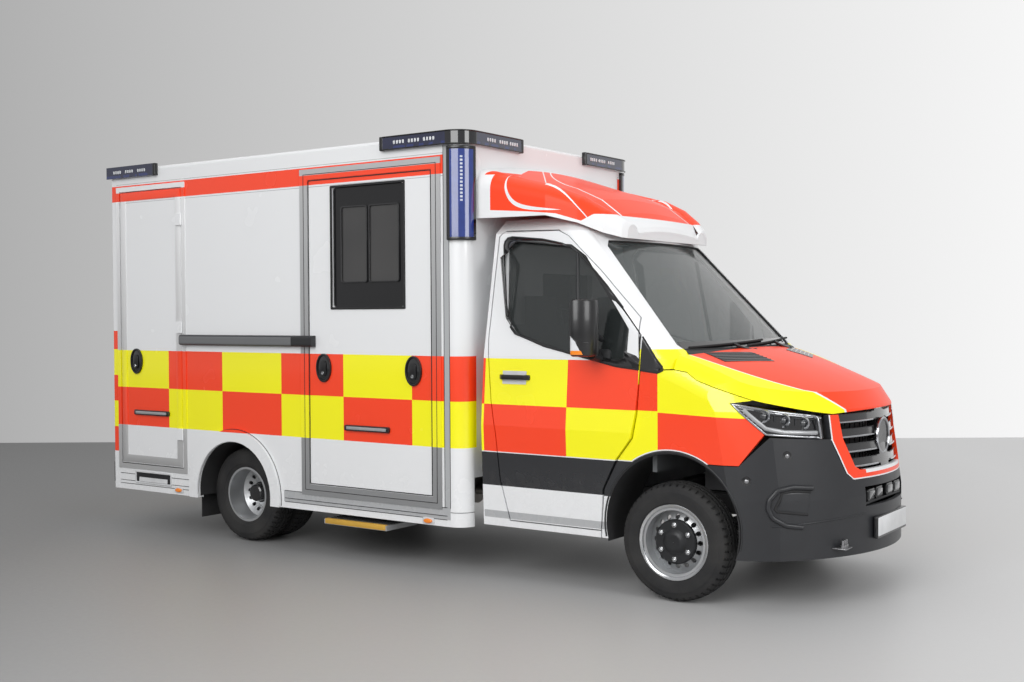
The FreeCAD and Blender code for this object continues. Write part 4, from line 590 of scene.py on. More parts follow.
def plate(name, axis, outline, low, high, finish, body="vehicle", edge=0.0015, rings=2, hole=None):
    """A piece cut to an outline across an axis, with its edges rounded; a hole has as many corners."""
    if hole:
        piece = blank(bpy.ops.mesh.primitive_cylinder_add, vertices=len(outline), end_fill_type="NOTHING")
        outline = [place for pair in zip(outline, hole) for place in pair]
    else:
        piece = blank(bpy.ops.mesh.primitive_circle_add, vertices=len(outline), fill_type="NGON")
    low, high = sorted((low, high))
    for vertex, (u, v) in zip(piece.data.vertices, outline):
        vertex.co = ORDERS[axis](u, v, low)
    push = ORDERS[axis](0.0, 0.0, high - low)
    edited(piece, lambda: bpy.ops.mesh.extrude_region_move(TRANSFORM_OT_translate={"value": push}), face_outwards)
    bevelled(piece, edge, rings)
    return kept(piece, name, finish, body)


def ring(name, axis, limits, insets, radii, low, high, finish, body="vehicle", edge=0.003, steps=5):
    """A flat ring between two rectangles with round corners."""
    u0, u1, v0, v1 = limits
    outer, inner = [rounded(u0 + by, u1 - by, v0 + by, v1 - by, radius, steps)
                    for by, radius in zip(insets, radii)]
    return plate(name, axis, outer, low, high, finish, body, edge, hole=inner)


def spun(axis, profile, steps):
    """A closed profile of (along, radius) turned about an axis."""
    piece = blank(bpy.ops.mesh.primitive_circle_add, vertices=len(profile), fill_type="NOTHING")
    for vertex, (along, radius) in zip(piece.data.vertices, profile):
        vertex.co = ORDERS[axis](0.0, radius, along)
    line = ORDERS[axis](0, 0, 1)
    edited(piece, lambda: bpy.ops.mesh.spin(steps=steps, angle=tau, center=(0, 0, 0), axis=line), face_outwards)
    return piece


def turned(name, axis, centre, profile, finish, body="vehicle", steps=48, way=1):
    """A turned piece at its place, with its profile laid one way or the other along the axis."""
    piece = spun(axis, [(way * along, radius) for along, radius in profile], steps)
    piece.location = centre
    return kept(piece, name, finish, body)


def rod(name, points, radius, finish, body="vehicle", closed=False, smooth=False):
    """A round bar or bead along a line."""
    curve = bpy.data.curves.new(name, "CURVE")
    curve.dimensions = "3D"
    curve.bevel_depth, curve.bevel_resolution, curve.use_fill_caps = radius, 3, True
    spline = curve.splines.new("NURBS" if smooth else "POLY")
    spline.points.add(len(points) - 1)
    for spot, point in zip(spline.points, points):
        spot.co = (*point, 1.0)
    spline.use_cyclic_u = closed
    if smooth:
        spline.order_u, spline.use_endpoint_u, curve.resolution_u = 3, not closed, 6
    piece = bpy.data.objects.new(name, curve)
    bpy.context.scene.collection.objects.link(piece)
    alone(piece)
    bpy.ops.object.convert(target="MESH")
    piece = bpy.context.active_object
    edited(piece, face_outwards)
    return kept(piece, name, finish, body, 60.0)


def joined(name, *pieces):
    """One piece out of several that ride together."""
    whole = alone(*pieces)
    if len(pieces) > 1:
        bpy.ops.object.join()
    whole.name = name
    return whole


def twin(piece, name, matrix):
    """A copy with its own mesh, put in place."""
    alone(piece)
    bpy.ops.object.duplicate(linked=False)
    other = bpy.context.active_object
    other.name, other.parent, other.matrix_world = name, None, matrix
    return other


def other_side(piece, body="vehicle"):
    """The same piece on the left of the vehicle."""
    other = twin(piece, piece.name.replace("right", "left"), Matrix.Diagonal((1.0, -1.0, 1.0, 1.0)))
    bpy.ops.object.transform_apply(location=False, rotation=False, scale=True)
    edited(other, face_outwards)
    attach(other, body)
    return other


class Surface:
    """The outside of some nodes, looked at along an axis."""

    def __init__(self, names, axis, sign):
        points, faces = [], []
        for name in names.split():
            start = len(points)
            mesh = bpy.data.objects[name].data
            points += [vertex.co.copy() for vertex in mesh.vertices]
            faces += [[start + corner for corner in face.vertices] for face in mesh.polygons]
        self.tree = BVHTree.FromPolygons(points, faces)
        self.axis, self.sign, self.order = axis, sign, ORDERS[axis]

    def height(self, u, v):
        """Where the surface lies along the axis at (u, v)."""
        hit = self.tree.ray_cast(Vector(self.order(u, v, self.sign * OUTSIDE)),
                                 Vector(self.order(0.0, 0.0, -self.sign)))[0]
        return None if hit is None else hit["xyz".index(self.axis)]

    def points(self, places, lift, probes=None):
        """Points over many places; one off the surface takes its nearest neighbour's height."""
        probes = probes or places
        found = [self.height(u, v) for u, v in probes]
        known = [index for index, height in enumerate(found) if height is not None]
        nearest = [min(known, key=lambda other: dist(probe, probes[other])) for probe in probes]
        return [self.order(u, v, found[index] + self.sign * lift) for (u, v), index in zip(places, nearest)]

    def point(self, u, v, lift=0.0):
        return self.order(u, v, self.height(u, v) + self.sign * lift)

    def line(self, corners, lift=0.0, step=0.04, closed=False):
        """Points on the surface along straight runs between corners."""
        places = []
        for start, end in zip(corners, corners[1:] + corners[:closed]):
            count = max(1, round(dist(start, end) / step))
            places += [mix(start, end, part / count) for part in range(count)]
        return self.points(places + ([] if closed else [corners[-1]]), lift)

    def rod(self, name, corners, lift, radius, finish, body="vehicle", step=0.03, **more):
        """A bar or bead laid along straight runs on the surface."""
        return rod(name, self.line(corners, lift, step, more.get("closed", False)), radius, finish, body, **more)

    def skin(self, name, corners, lift, thick, finish, body="vehicle", cells=(12, 6), edge=0.0):
        """A thin piece laid on the surface inside four corners given anticlockwise."""
        piece = blank(bpy.ops.mesh.primitive_grid_add, x_subdivisions=cells[0], y_subdivisions=cells[1], size=2.0)
        a, b, c, e = corners
        places = []
        for vertex in piece.data.vertices:
            s, t = (vertex.co.x + 1.0) / 2, (vertex.co.y + 1.0) / 2
            places.append(mix(mix(a, b, s), mix(e, c, s), t))
        for vertex, point in zip(piece.data.vertices, self.points(places, lift)):
            vertex.co = point
        modified(piece, "SOLIDIFY", thickness=thick, offset=0.0)
        edited(piece, face_outwards)
        bevelled(piece, edge)
        return kept(piece, name, finish, body)


# ---------------------------------------------------------------- wheels
TYRE_LIP = [(0.0825, 0.207), (0.091, 0.219), (0.094, 0.232), (0.0985, 0.236), (0.101, 0.262), (0.1022, 0.282),
            (0.101, 0.3), (0.0992, 0.302), (0.096, 0.318), (0.0905, 0.332), (0.084, 0.3395)]
TREAD_RIBS = [(0.08, 0.344), (0.056, 0.3515), (0.055, 0.344), (0.048, 0.344), (0.047, 0.353),
              (0.023, 0.3565), (0.022, 0.348), (0.015, 0.348), (0.014, 0.3568)]
TYRE_INSIDE = [(-0.075, 0.212), (-0.088, 0.27), (-0.07, 0.325), (0.07, 0.325), (0.088, 0.27), (0.075, 0.212)]
TYRE_WIDTH = 0.205
RIB_RADIUS = 0.3455  # the ribs lie outside this and the shoulders inside it
TREAD_BLOCK = 2.5  # degrees of the tread that one block takes up


def notch_tread():
    """Cut cross grooves into every third block of the ribs and of the shoulders."""
    bpy.ops.mesh.select_all(action="DESELECT")
    bpy.ops.object.mode_set(mode="OBJECT")
    for face in bpy.context.active_object.data.polygons:
        x, y, z = face.center
        radius, out = hypot(x, z), abs(y)
        rib = radius > RIB_RADIUS and (0.057 < out < 0.082 or 0.024 < out < 0.046)
        shoulder = 0.325 < radius < RIB_RADIUS and out > 0.081
        block = int(degrees(atan2(z, x)) % 360.0 / TREAD_BLOCK)
        face.select = (rib or shoulder) and block % 3 == (0 if y > 0 else 1)
    bpy.ops.object.mode_set(mode="EDIT")
    bpy.ops.mesh.select_mode(type="FACE")
    bpy.ops.mesh.inset(thickness=0.0015, depth=-0.006, use_individual=True)


def wheel_trim(side, sign):
    """The hub cover, bright nuts and flange of a front wheel, with its brake disc and caliper."""
    wheel = "front_wheel_" + side
    reach = [abs(corner[1]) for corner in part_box("front_rim_" + side)]
    face, inside = sign * max(reach), sign * min(reach)
    hub = face - sign * 0.012
    nuts = []
    for x, z in arc(AXLE, WHEEL_Z, 0.1025, 30, 330, 5):
        nuts += [plate("nut", "y", oval(x, z, 0.0175, 0.0175, 6), hub - sign * 0.02, hub + sign * 0.006,
                       "bright nut", wheel, 0.003),
                 turned("nut_top", "y", (x, hub, z), [(0.0, 0.012), (0.01, 0.011), (0.016, 0.006),
                        (0.017, 0.001), (0.0, 0.001)], "bright nut", wheel, 16, sign)]
    joined("wheel_nuts_front_" + side, *nuts)
    for name, y, profile, finish in (
            ("hub_cover_front_", hub, [(-0.035, 0.134), (-0.014, 0.134), (-0.006, 0.126), (-0.006, 0.078),
             (0.006, 0.066), (0.012, 0.056), (0.017, 0.046), (0.0165, 0.04), (0.0165, 0.002), (-0.035, 0.002)],
             "dark hub"),
            ("rim_flange_", face, [(-0.006, 0.206), (0.002, 0.209), (0.0075, 0.219), (0.008, 0.226),
             (0.004, 0.23), (-0.002, 0.229), (-0.006, 0.226)], "bright nut"),
            ("brake_disc_", inside + sign * 0.028, [(0.0, 0.07), (0.0, 0.146), (0.002, 0.148), (0.008, 0.148),
             (0.009, 0.144), (0.009, 0.138), (0.015, 0.138), (0.016, 0.144), (0.016, 0.148), (0.02, 0.148),
             (0.022, 0.146), (0.022, 0.07)], "tow steel")):
        turned(name + side, "y", (AXLE, y, WHEEL_Z), profile, finish, wheel, way=sign)
    plate("caliper_" + side, "y", rounded(AXLE + 0.085, AXLE + 0.18, WHEEL_Z - 0.1, WHEEL_Z + 0.09, 0.03),
          inside - sign * 0.025, inside + sign * 0.005, "cast grey", "steering_knuckle_" + side, 0.006)


def rear_hub(side, sign):
    """The black hub end deep in a rear wheel."""
    outer = sign * (max(abs(corner[1]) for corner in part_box("rear_rims_" + side)) - 0.148)
    turned("rear_hub_" + side, "y", (REAR_AXLE, outer, WHEEL_Z),
           [(-0.02, 0.08), (0.004, 0.08), (0.01, 0.07), (0.06, 0.064), (0.068, 0.054), (0.07, 0.03),
            (0.07, 0.002), (-0.02, 0.002)], "gloss black", "rear_wheels_" + side, way=sign)


half = TYRE_LIP + TREAD_RIBS
pattern = spun("y", half + [(-along, radius) for along, radius in reversed(half)] + TYRE_INSIDE, 144)
edited(pattern, notch_tread)
for side, sign in SIDES:
    reach = [abs(corner[1]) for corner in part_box("rear_tyres_" + side)]
    for name, node, wheel, station, places in (
            ("tread_front_", "front_tyre_", "front_wheel_", AXLE, [JOINTS["spin_front_" + side][1]]),
            ("tread_rear_", "rear_tyres_", "rear_wheels_", REAR_AXLE, [
                sign * (max(reach) - TYRE_WIDTH / 2), sign * (min(reach) + TYRE_WIDTH / 2)])):
        tyres = joined("tyres", *[twin(pattern, "tyre", Matrix.Translation((station, y, WHEEL_Z))) for y in places])
        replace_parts(kept(tyres, name + side, "tyre rubber", wheel + side), node + side)
bpy.data.objects.remove(pattern)
for side, sign in SIDES:
    wheel_trim(side, sign)
    rear_hub(side, sign)


# ---------------------------------------------------------------- box body
HANDLES = ((-4.755, 1.357, "locker_door"), (-2.698, 1.345, "vehicle"), (-1.876, 1.34, "vehicle"))
LIGHT_BARS = ((-4.78, -4.364, 0.947), (-2.498, -2.089, 0.932))
MARKERS = ((-4.262, 0.354), (-1.758, 0.344))
FLARE_Z = 0.372


def beside(sign, *lifts):
    """Places across the vehicle, from how far they stand out of a side of the box."""
    return [sign * (HALF + lift) for lift in lifts]


def oval_handle(number, x, z, body):
    """A recessed oval plate with a black rim, a pull and a lock barrel."""
    rim = plate("rim", "y", oval(x, z, 0.07, 0.1015), *beside(-1, 0.0165, -0.004), "handle black", body, 0.003,
                hole=oval(x, z, 0.058, 0.088))
    bed = plate("bed", "y", oval(x, z, 0.06, 0.09), *beside(-1, 0.0095, -0.004), "gloss black", body, 0.001)
    pull = plate("pull", "y", rounded(x - 0.03, x + 0.03, z - 0.058, z + 0.052, 0.022),
                 *beside(-1, 0.0215, 0.0095), "handle black", body, 0.004)
    lock = turned("lock", "y", (x, *beside(-1, 0.0205), z - 0.036), [
        (0.004, 0.012), (-0.003, 0.012), (-0.005, 0.01), (-0.004, 0.003), (0.004, 0.003)], "bright nut", body, 24)
    joined("handle_%d" % number, lock, pull, bed, rim)


def light_bar(number, sign, x0, x1, z):
    """A slim work lamp: a clear strip on a black housing."""
    house = plate("house", "y", rounded(x0, x1, z - 0.02, z + 0.02, 0.012), *beside(sign, -0.002, 0.02),
                  "handle black", edge=0.004)
    lens = plate("lens", "y", rounded(x0 + 0.022, x1 - 0.022, z - 0.011, z + 0.011, 0.008),
                 *beside(sign, 0.017, 0.024), "lamp strip", edge=0.003)
    joined("work_lamp_%d" % number, lens, house)


def marker(number, sign, x, z):
    """An amber side marker in a grey base."""
    base = plate("base", "y", rounded(x - 0.05, x + 0.05, z - 0.022, z + 0.022, 0.012),
                 *beside(sign, -0.003, 0.006), "white fitting", edge=0.002)
    lens = plate("lens", "y", oval(x, z, 0.036, 0.016), *beside(sign, 0.003, 0.017), "amber lens", edge=0.006,
                 rings=3)
    joined("side_marker_%d" % number, lens, base)


def side_fittings():
    """Door leaf frames, seams, the recess in the skirt and the step's coloured edge."""
    low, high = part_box("side_door")
    ring("side_door_edge", "y", (low[0] + 0.004, high[0] - 0.004, low[2] + 0.004, high[2] - 0.004), (0.0, 0.006),
         (0.004, 0.004), *beside(-1, 0.0045, -0.002), "soft black", edge=0.0015, steps=1)
    low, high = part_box("locker_door")
    ring("locker_leaf_frame", "y", (low[0] + 0.006, at(-4.216), low[2] + 0.006, high[2] - 0.006), (0.0, 0.06),
         (0.004, 0.004), *beside(-1, 0.0045, -0.002), "frame paint", "locker_door", 0.0015, 1)
    rod("side_door_seam", [(at(x), *beside(-1, 0.006), z) for x, z in (
        (-2.887, 0.468), (-1.679, 0.468), (-1.679, 2.722), (-2.887, 2.722))], 0.003, "soft black", closed=True)
    x0, x1, z0, z1 = at(-4.791), at(-4.349), 0.375, 0.476
    ring("recess_rim", "y", (x0, x1, z0, z1), (0.0, 0.014), (0.012, 0.006), *beside(-1, 0.008, -0.004),
         "white fitting")
    back = plate("back", "y", rounded(x0 + 0.012, x1 - 0.012, z0 + 0.012, z1 - 0.012, 0.006),
                 *beside(-1, 0.0025, -0.003), "dark hub", edge=0.0)
    ledge = plate("ledge", "x", [(BOX_SIDE - 0.003, z0 + 0.016), (BOX_SIDE - 0.003, z0 + 0.05),
                                 (BOX_SIDE - 0.0066, z0 + 0.016)], x0 + 0.05, x1 - 0.05, "white fitting", edge=0.0)
    joined("recess", ledge, back)
    low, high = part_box("side_step")
    edge, top = low[1], 0.275
    plate("step_edge", "x", [(edge - 0.004, 0.243), (edge + 0.028, 0.243), (edge + 0.028, top + 0.004),
                             (edge - 0.004, top + 0.004)], low[0] + 0.01, high[0] - 0.01, "stair yellow",
          edge=0.003)
    starts = [edge + 0.05 + 0.028 * step for step in range(9)]
    joined("step_ribs", *[plate("rib", "x", [(y, top), (y + 0.01, top), (y + 0.008, top + 0.003),
                                             (y + 0.002, top + 0.003)], low[0] + 0.02, high[0] - 0.02,
                                "soft black", edge=0.0) for y in starts])


def window_surround(side, sign):
    """The black rubber round a box window and the edges of its two panes."""
    ring("window_rubber_" + side, "y", (at(-2.618), at(-1.958), 1.77, 2.616), (-0.012, 0.004), (0.008, 0.005),
         *beside(sign, -0.003, 0.007), "soft black", steps=4)
    joined("window_rubber_%s_panes" % side, *[
        ring("pane", "y", (at(left), at(right), 1.953, 2.47), (-0.01, 0.0), (0.02, 0.015),
             *beside(sign, -0.015, -0.007), "gloss black", edge=0.001) for left, right in PANES])


def flare_line(side, sign):
    """The joint round the outer edge of a rear arch flare and its inner lip."""
    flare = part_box("arch_flares")[1][1]
    for name, reach, foot, radius, y, thick, finish in (
            ("joint", 0.487, 0.327, 0.4915, HALF + 0.001, 0.0025, "dark hub"),
            ("lip", 0.402, 0.322, 0.402, flare - 0.008, 0.007, "white fitting")):
        start = degrees(asin((foot - FLARE_Z) / reach))
        rod("flare_%s_%s" % (side, name), [(x, sign * y, z) for x, z in arc(
            REAR_AXLE, FLARE_Z, radius, start, 180 - start, 40)], thick, finish)


def arch_liner(name, x, z, radius, y0, y1, start, end):
    """A black wheel-house liner, open below."""
    plate(name, "y", arc(x, z, radius, start, end, 28) + arc(x, z, radius * 0.985, end, start, 28), y0, y1,
          "soft black", edge=0.0)


for number, (station, z, body) in enumerate(HANDLES):
    oval_handle(number, at(station), z, body)
for number, (rear, front, z) in enumerate(LIGHT_BARS):
    for side, sign in SIDES:
        light_bar(number + (sign > 0) * len(LIGHT_BARS), sign, at(rear), at(front), z)
for number, (station, z) in enumerate(MARKERS):
    for side, sign in SIDES:
        marker(number + (sign > 0) * len(MARKERS), sign, at(station), z)
side_fittings()
for side, sign in SIDES:
    window_surround(side, sign)
for side, sign in SIDES:
    flare_line(side, sign)
    arch_liner("rear_liner_" + side, REAR_AXLE, FLARE_Z, 0.399, sign * 0.5, sign * 1.062, -6, 186)


# ---------------------------------------------------------------- cab
RIGHT_SIDE = Surface("cab_shell cab_door_right front_wings front_bumper bonnet headlights door_glass_right", "y", -1)
CAB_FRONT = Surface("front_bumper bonnet grille_surround front_wings headlights", "x", 1)
BONNET_TOP = Surface("bonnet front_wings cab_shell", "z", 1)
SCREEN_FRONT = Surface("windscreen cab_shell", "x", 1)
DOOR_SKIN = Surface("cab_door_right cab_shell", "y", -1)
WINDOW_MIDDLE = (1.3, 1.78)
WINDOW_EDGE = [(0.778, 2.17), (0.782, 2.196), (0.792, 2.212), (0.81, 2.222), (0.835, 2.225), (1.076, 2.201),
               (1.226, 2.169), (1.317, 2.133), (1.375, 2.098), (1.447, 2.031), (1.586, 1.894), (1.714, 1.756),
               (1.858, 1.59), (1.858, 1.381), (1.698, 1.4), (1.163, 1.517), (0.975, 1.578), (0.936, 1.595),
               (0.905, 1.622), (0.884, 1.656), (0.862, 1.7), (0.849, 1.749), (0.803, 2.0)]
WINDOW_CUT = [(-1.215, 1.69), (-1.13, 1.59), (-0.727, 1.473), (-0.32, 1.424), (-0.3, 1.436),
              (-0.3, 1.625), (-0.655, 2.085), (-0.77, 2.16), (-1.2, 2.205), (-1.262, 2.15)]
WINDOW_LIP = [*WINDOW_EDGE[11:3:-1], (0.8, 2.218), *[WINDOW_EDGE[spot] for spot in (1, 0, 22, 21, 19, 17, 15, 14)],
              (1.856, 1.383)]


def to_model(*corners):
    return [(at(x), z) for x, z in corners]


def shifted(u, v, *corners):
    """Corners given from a point of their own."""
    return [(u + du, v + dv) for du, dv in corners]


def reach_of(corners, centre, angle):
    """How far an outline lies from a point inside it, in one direction."""
    du, dv = cos(angle), sin(angle)
    best = 0.0
    for (u0, v0), (u1, v1) in zip(corners, corners[1:] + corners[:1]):
        eu, ev = u1 - u0, v1 - v0
        cross = du * ev - dv * eu
        if abs(cross) > 1e-9:
            far = ((u0 - centre[0]) * ev - (v0 - centre[1]) * eu) / cross
            along = ((u0 - centre[0]) * dv - (v0 - centre[1]) * du) / cross
            if far > 0 and -1e-6 <= along <= 1 + 1e-6:
                best = max(best, far)
    return best


def laid_ring(name, surface, centre, outer, inner, thick, finish, body):
    """A flat ring between two outlines, bent to lie on a surface."""
    cu, cv = centre
    angles = sorted({round(radians(step * 3), 5) for step in range(120)}
                    | {round(atan2(v - cv, u - cu) % tau, 5) for u, v in outer})
    piece = blank(bpy.ops.mesh.primitive_circle_add, vertices=len(angles), fill_type="NOTHING")
    edited(piece, bpy.ops.mesh.extrude_edges_move)

    def around(reaches):
        return [(cu + cos(angle) * reach, cv + sin(angle) * reach) for angle, reach in zip(angles, reaches)]

    near, far = [[reach_of(corners, centre, angle) for angle in angles] for corners in (inner, outer)]
    spots = surface.points(around(near), 0.002, around([reach + 0.01 for reach in near]))
    spots += surface.points(around(far), 0.002, around([
        max(outside - 0.001, inside + 0.01) for inside, outside in zip(near, far)]))
    for vertex, spot in zip(piece.data.vertices, spots):
        vertex.co = spot
    modified(piece, "SOLIDIFY", thickness=thick, offset=0.0)
    bevelled(piece, thick * 0.3)
    edited(piece, face_outwards)
    return kept(piece, name, finish, body)


def shrunk(corners, by):
    """An outline moved inwards about its own middle."""
    middle = [sum(values) / len(corners) for values in zip(*corners)]
    reach = max(dist(corner, middle) for corner in corners)
    return [mix(corner, middle, by / reach) for corner in corners]


def door_trim():
    """Window rubber, the post before the fixed quarter pane, and the black handle of the cab door."""
    door = "cab_door_right"
    rubber = laid_ring("rubber", DOOR_SKIN, WINDOW_MIDDLE, WINDOW_EDGE, shrunk(to_model(*WINDOW_CUT), 0.018), 0.006,
                       "gloss black", door)
    post = RIGHT_SIDE.rod("post", [(1.342, 2.1), (1.412, 1.485)], -0.004, 0.013, "black moulding", door)
    lip = DOOR_SKIN.rod("lip", WINDOW_LIP, 0.003, 0.006, "soft black", door)
    window = joined("door_window_rubber_right", lip, post, rubber)
    corner = RIGHT_SIDE.skin("corner", [(1.868, 1.382), (1.992, 1.368), (2.01, 1.398), (1.868, 1.576)], 0.002,
                             0.004, "gloss black", cells=(14, 14))
    bead = RIGHT_SIDE.rod("bead", [(1.868, 1.579), (1.92, 1.514), (2.008, 1.402), (2.017, 1.38), (1.985, 1.366),
                                   (1.868, 1.38)], 0.003, 0.006, "soft black", step=0.02)
    other_side(joined("window_corner_right", bead, corner))
    x0, x1, z = at(-1.23), at(-0.996), 1.315
    cup = RIGHT_SIDE.skin("cup", [(x0 + 0.02, z - 0.045), (x1 - 0.03, z - 0.045), (x1 - 0.03, z + 0.04),
                                  (x0 + 0.02, z + 0.04)], 0.002, 0.003, "white fitting", door, (8, 6))
    y = RIGHT_SIDE.height((x0 + x1) / 2, z)
    outline = shifted(x0, y, (0.0, -0.012), (0.03, -0.034)) + shifted(
        x1, y, (-0.03, -0.034), (0.0, -0.012), (0.0, 0.002), (-0.035, 0.002), (-0.04, -0.018)) + shifted(
        x0, y, (0.04, -0.018), (0.035, 0.002), (0.0, 0.002))
    grip = plate("grip", "z", outline, z - 0.016, z + 0.016, "handle black", door, 0.006)
    for piece in (window, joined("door_handle_right", grip, cup)):
        other_side(piece, "cab_door_left")


def mirror_trim():
    """A rounded mirror housing on two arms, with its lamp, parting line and two glasses."""
    door = "cab_door_right"
    low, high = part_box("mirror_right")
    x, outer, inner, z, top = low[0], low[1], -1.03, 1.462, high[2]
    outline = shifted(x, outer, (0.0, 0.006), (0.022, 0.001), (0.052, 0.012), (0.084, 0.036), (0.107, 0.07),
                      (0.119, 0.108))
    outline += shifted(x, inner, (0.116, -0.046), (0.1, -0.016), (0.066, -0.002), (0.022, 0.0), (0.0, -0.004))
    shell = plate("mirror_shell_right", "z", outline, z, top, "handle black", door, 0.016)
    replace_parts(shell, "mirror_right")
    edge, glass, wide = [
        plate(name, "x", rounded(outer + side, inner + other, z0, z1, radius), x + x0, x + x1, finish, door, width)
        for name, side, other, z0, z1, radius, x0, x1, finish, width in (
            ("rim", 0.008, -0.006, z + 0.006, top - 0.006, 0.03, -0.004, 0.006, "black moulding", 0.003),
            ("glass", 0.022, -0.022, z + 0.105, top - 0.02, 0.03, -0.006, -0.001, "mirror silver", 0.001),
            ("wide", 0.022, -0.022, z + 0.02, z + 0.09, 0.02, -0.006, -0.001, "mirror silver", 0.001))]
    side = Surface("mirror_shell_right", "y", -1)
    lamp = side.skin("lamp", shifted(x, z, (0.008, 0.014), (0.074, 0.014), (0.04, 0.092), (0.008, 0.125)), 0.001,
                     0.004, "clear lens", door, (10, 10))
    amber = side.skin("amber", shifted(x, z, (0.01, 0.012), (0.08, 0.012), (0.07, 0.036), (0.01, 0.036)), 0.003,
                      0.003, "amber lens", door, (10, 4))
    seam = side.rod("seam", shifted(x, z, (0.006, 0.13), (0.042, 0.096), (0.1, 0.082)), 0.001, 0.003,
                    "gloss black", door, 0.015)
    arms = [rod("arm", [(x + 0.06, inner - 0.02, height), (x + 0.058, inner + 0.05, height - 0.004),
                        (x + 0.055, -0.965, height - 0.018), (x + 0.055, -0.935, height - 0.024)], 0.016,
                "black moulding", door, smooth=True) for height in (z + 0.022, z + 0.125)]
    foot = plate("foot", "y", rounded(x + 0.012, x + 0.13, 1.405, 1.5, 0.02), -0.965, -0.93, "black moulding",
                 door, 0.006)
    cover = rod("cover", [(x + 0.06, inner - 0.03, z + 0.004), (x + 0.058, -0.99, z - 0.012),
                          (x + 0.06, -0.955, z - 0.02)], 0.026, "black moulding", door, smooth=True)
    other_side(joined("mirror_fittings_right", glass, wide, lamp, amber, seam, *arms, foot, cover, edge),
               "cab_door_left")
    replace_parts(other_side(shell, "cab_door_left"), "mirror_left")


def screen_trim():
    """The black border of the windscreen, the cowl below it and two wipers."""
    corners = [(0.8, 1.496), (0.833, 1.532), (0.69, 2.146), (0.64, 2.186)]
    outline = [(-y, z) for y, z in corners] + corners[::-1]
    SCREEN_FRONT.rod("screen_border", outline, 0.001, 0.009, "soft black", step=0.04, closed=True)
    SCREEN_FRONT.skin("screen_shade", [(-0.8, 1.5), (0.8, 1.5), (0.79, 1.545), (-0.79, 1.545)], 0.0015, 0.002,
                      "gloss black", cells=(40, 2))
    SCREEN_FRONT.skin("cowl", [(-0.83, 1.452), (0.83, 1.452), (0.8, 1.494), (-0.8, 1.494)], 0.008, 0.008,
                      "black moulding", cells=(40, 3), edge=0.003)
    for side, foot, start, tip in (("right", -0.1, -0.75, 0.2), ("left", 0.6, -0.1, 0.84)):
        blade = [mix((start, 1.512), (tip, 1.542), step / 10) for step in range(11)]
        rubber = rod("blade", [SCREEN_FRONT.point(y, z, 0.016) for y, z in blade], 0.007, "soft black")
        arm = rod("arm", [SCREEN_FRONT.point(foot, 1.478, 0.022), SCREEN_FRONT.point(foot - 0.18, 1.5, 0.032),
                          SCREEN_FRONT.point(*blade[5], 0.03)], 0.01, "handle black", smooth=True)
        cap = turned("cap", "z", SCREEN_FRONT.point(foot, 1.476, 0.014), [
            (-0.01, 0.022), (0.01, 0.02), (0.018, 0.012), (0.02, 0.002), (-0.01, 0.002)], "handle black",
            steps=20)
        joined("wiper_" + side, rubber, arm, cap)


def bonnet_trim():
    """The two black vents near the windscreen and their bars."""
    right = [(at(0.075), -0.678), (at(0.205), -0.281), (at(0.374), -0.314), (at(0.225), -0.706)]
    for number, (a, b, c, e) in enumerate((right, [(x, -y) for x, y in right[::-1]])):
        vent = BONNET_TOP.skin("vent", [a, b, c, e], 0.001, 0.004, "handle black", "bonnet", (12, 8), 0.001)
        bars = [BONNET_TOP.rod("bar", [mix(a, e, step / 6), mix(b, c, step / 6)], 0.003, 0.0035, "gloss black",
                               "bonnet") for step in range(1, 6)]
        joined("bonnet_vent_%d" % number, vent, *bars)


def fairing_lip():
    """The closed front end of the fairing over the windscreen, with its two bulging corners."""
    corner = [(0.568, 2.203)] + arc(0.499, 2.2215, 0.069, 0, 165, 11) + [(0.22, 2.259)]
    outline = corner + [(0.0, 2.266)] + [(-y, z) for y, z in corner[::-1]]
    plate("fairing_lip", "x", outline, at(-0.535), at(-0.5158), "fairing paint", edge=0.0)


# ---------------------------------------------------------------- nose
def headlamp():
    """Reflector bowls, a light strip and dark bezels laid on the face of the lamp."""
    lens = Surface("headlights", "y", -1)
    frame_line = to_model(*shrunk([(0.372, 1.2), (0.558, 1.022), (0.806, 0.992), (0.786, 1.118)], 0.012))
    pieces = [lens.rod("rim", frame_line, 0.001, 0.007, "lamp bowl", closed=True)]

    def laid(name, corners, lift, radius, finish):
        pieces.append(lens.rod(name, to_model(*corners), lift, radius, finish))

    laid("strip", [(0.445, 1.165), (0.56, 1.058), (0.64, 1.035), (0.77, 1.025)], 0.003, 0.013, "lamp strip")
    for x, z, radius in ((0.545, 1.128, 0.034), (0.632, 1.102, 0.036), (0.712, 1.082, 0.034)):
        across, deep, up = lens.point(at(x), z)
        pieces += [
            turned("bowl", "y", (across, deep - 0.003, up),
                   [(0.016, radius * 0.25), (0.006, radius * 0.55), (-0.002, radius), (-0.004, radius + 0.004),
                    (0.002, radius + 0.006), (0.018, radius + 0.006)], "lamp bowl", steps=28),
            turned("eye", "y", (across, deep + 0.002, up),
                   [(0.01, 0.02), (-0.004, 0.019), (-0.012, 0.012), (-0.014, 0.002), (0.01, 0.002)],
                   "dark lens", steps=24)]
        laid("visor", shifted(x, z, (-0.046, 0.034), (0.052, 0.018), (0.055, -0.03)), 0.004, 0.005,
             "bumper moulding")
    laid("upper", [(0.42, 1.178), (0.6, 1.142), (0.78, 1.108)], 0.002, 0.006, "lamp bowl")
    for step in range(5):
        laid("rib", shifted(0.022 * step, -0.021 * step, (0.415, 1.165), (0.455, 1.16)), 0.002, 0.003, "lamp bowl")
    other_side(joined("headlamp_right", *pieces))


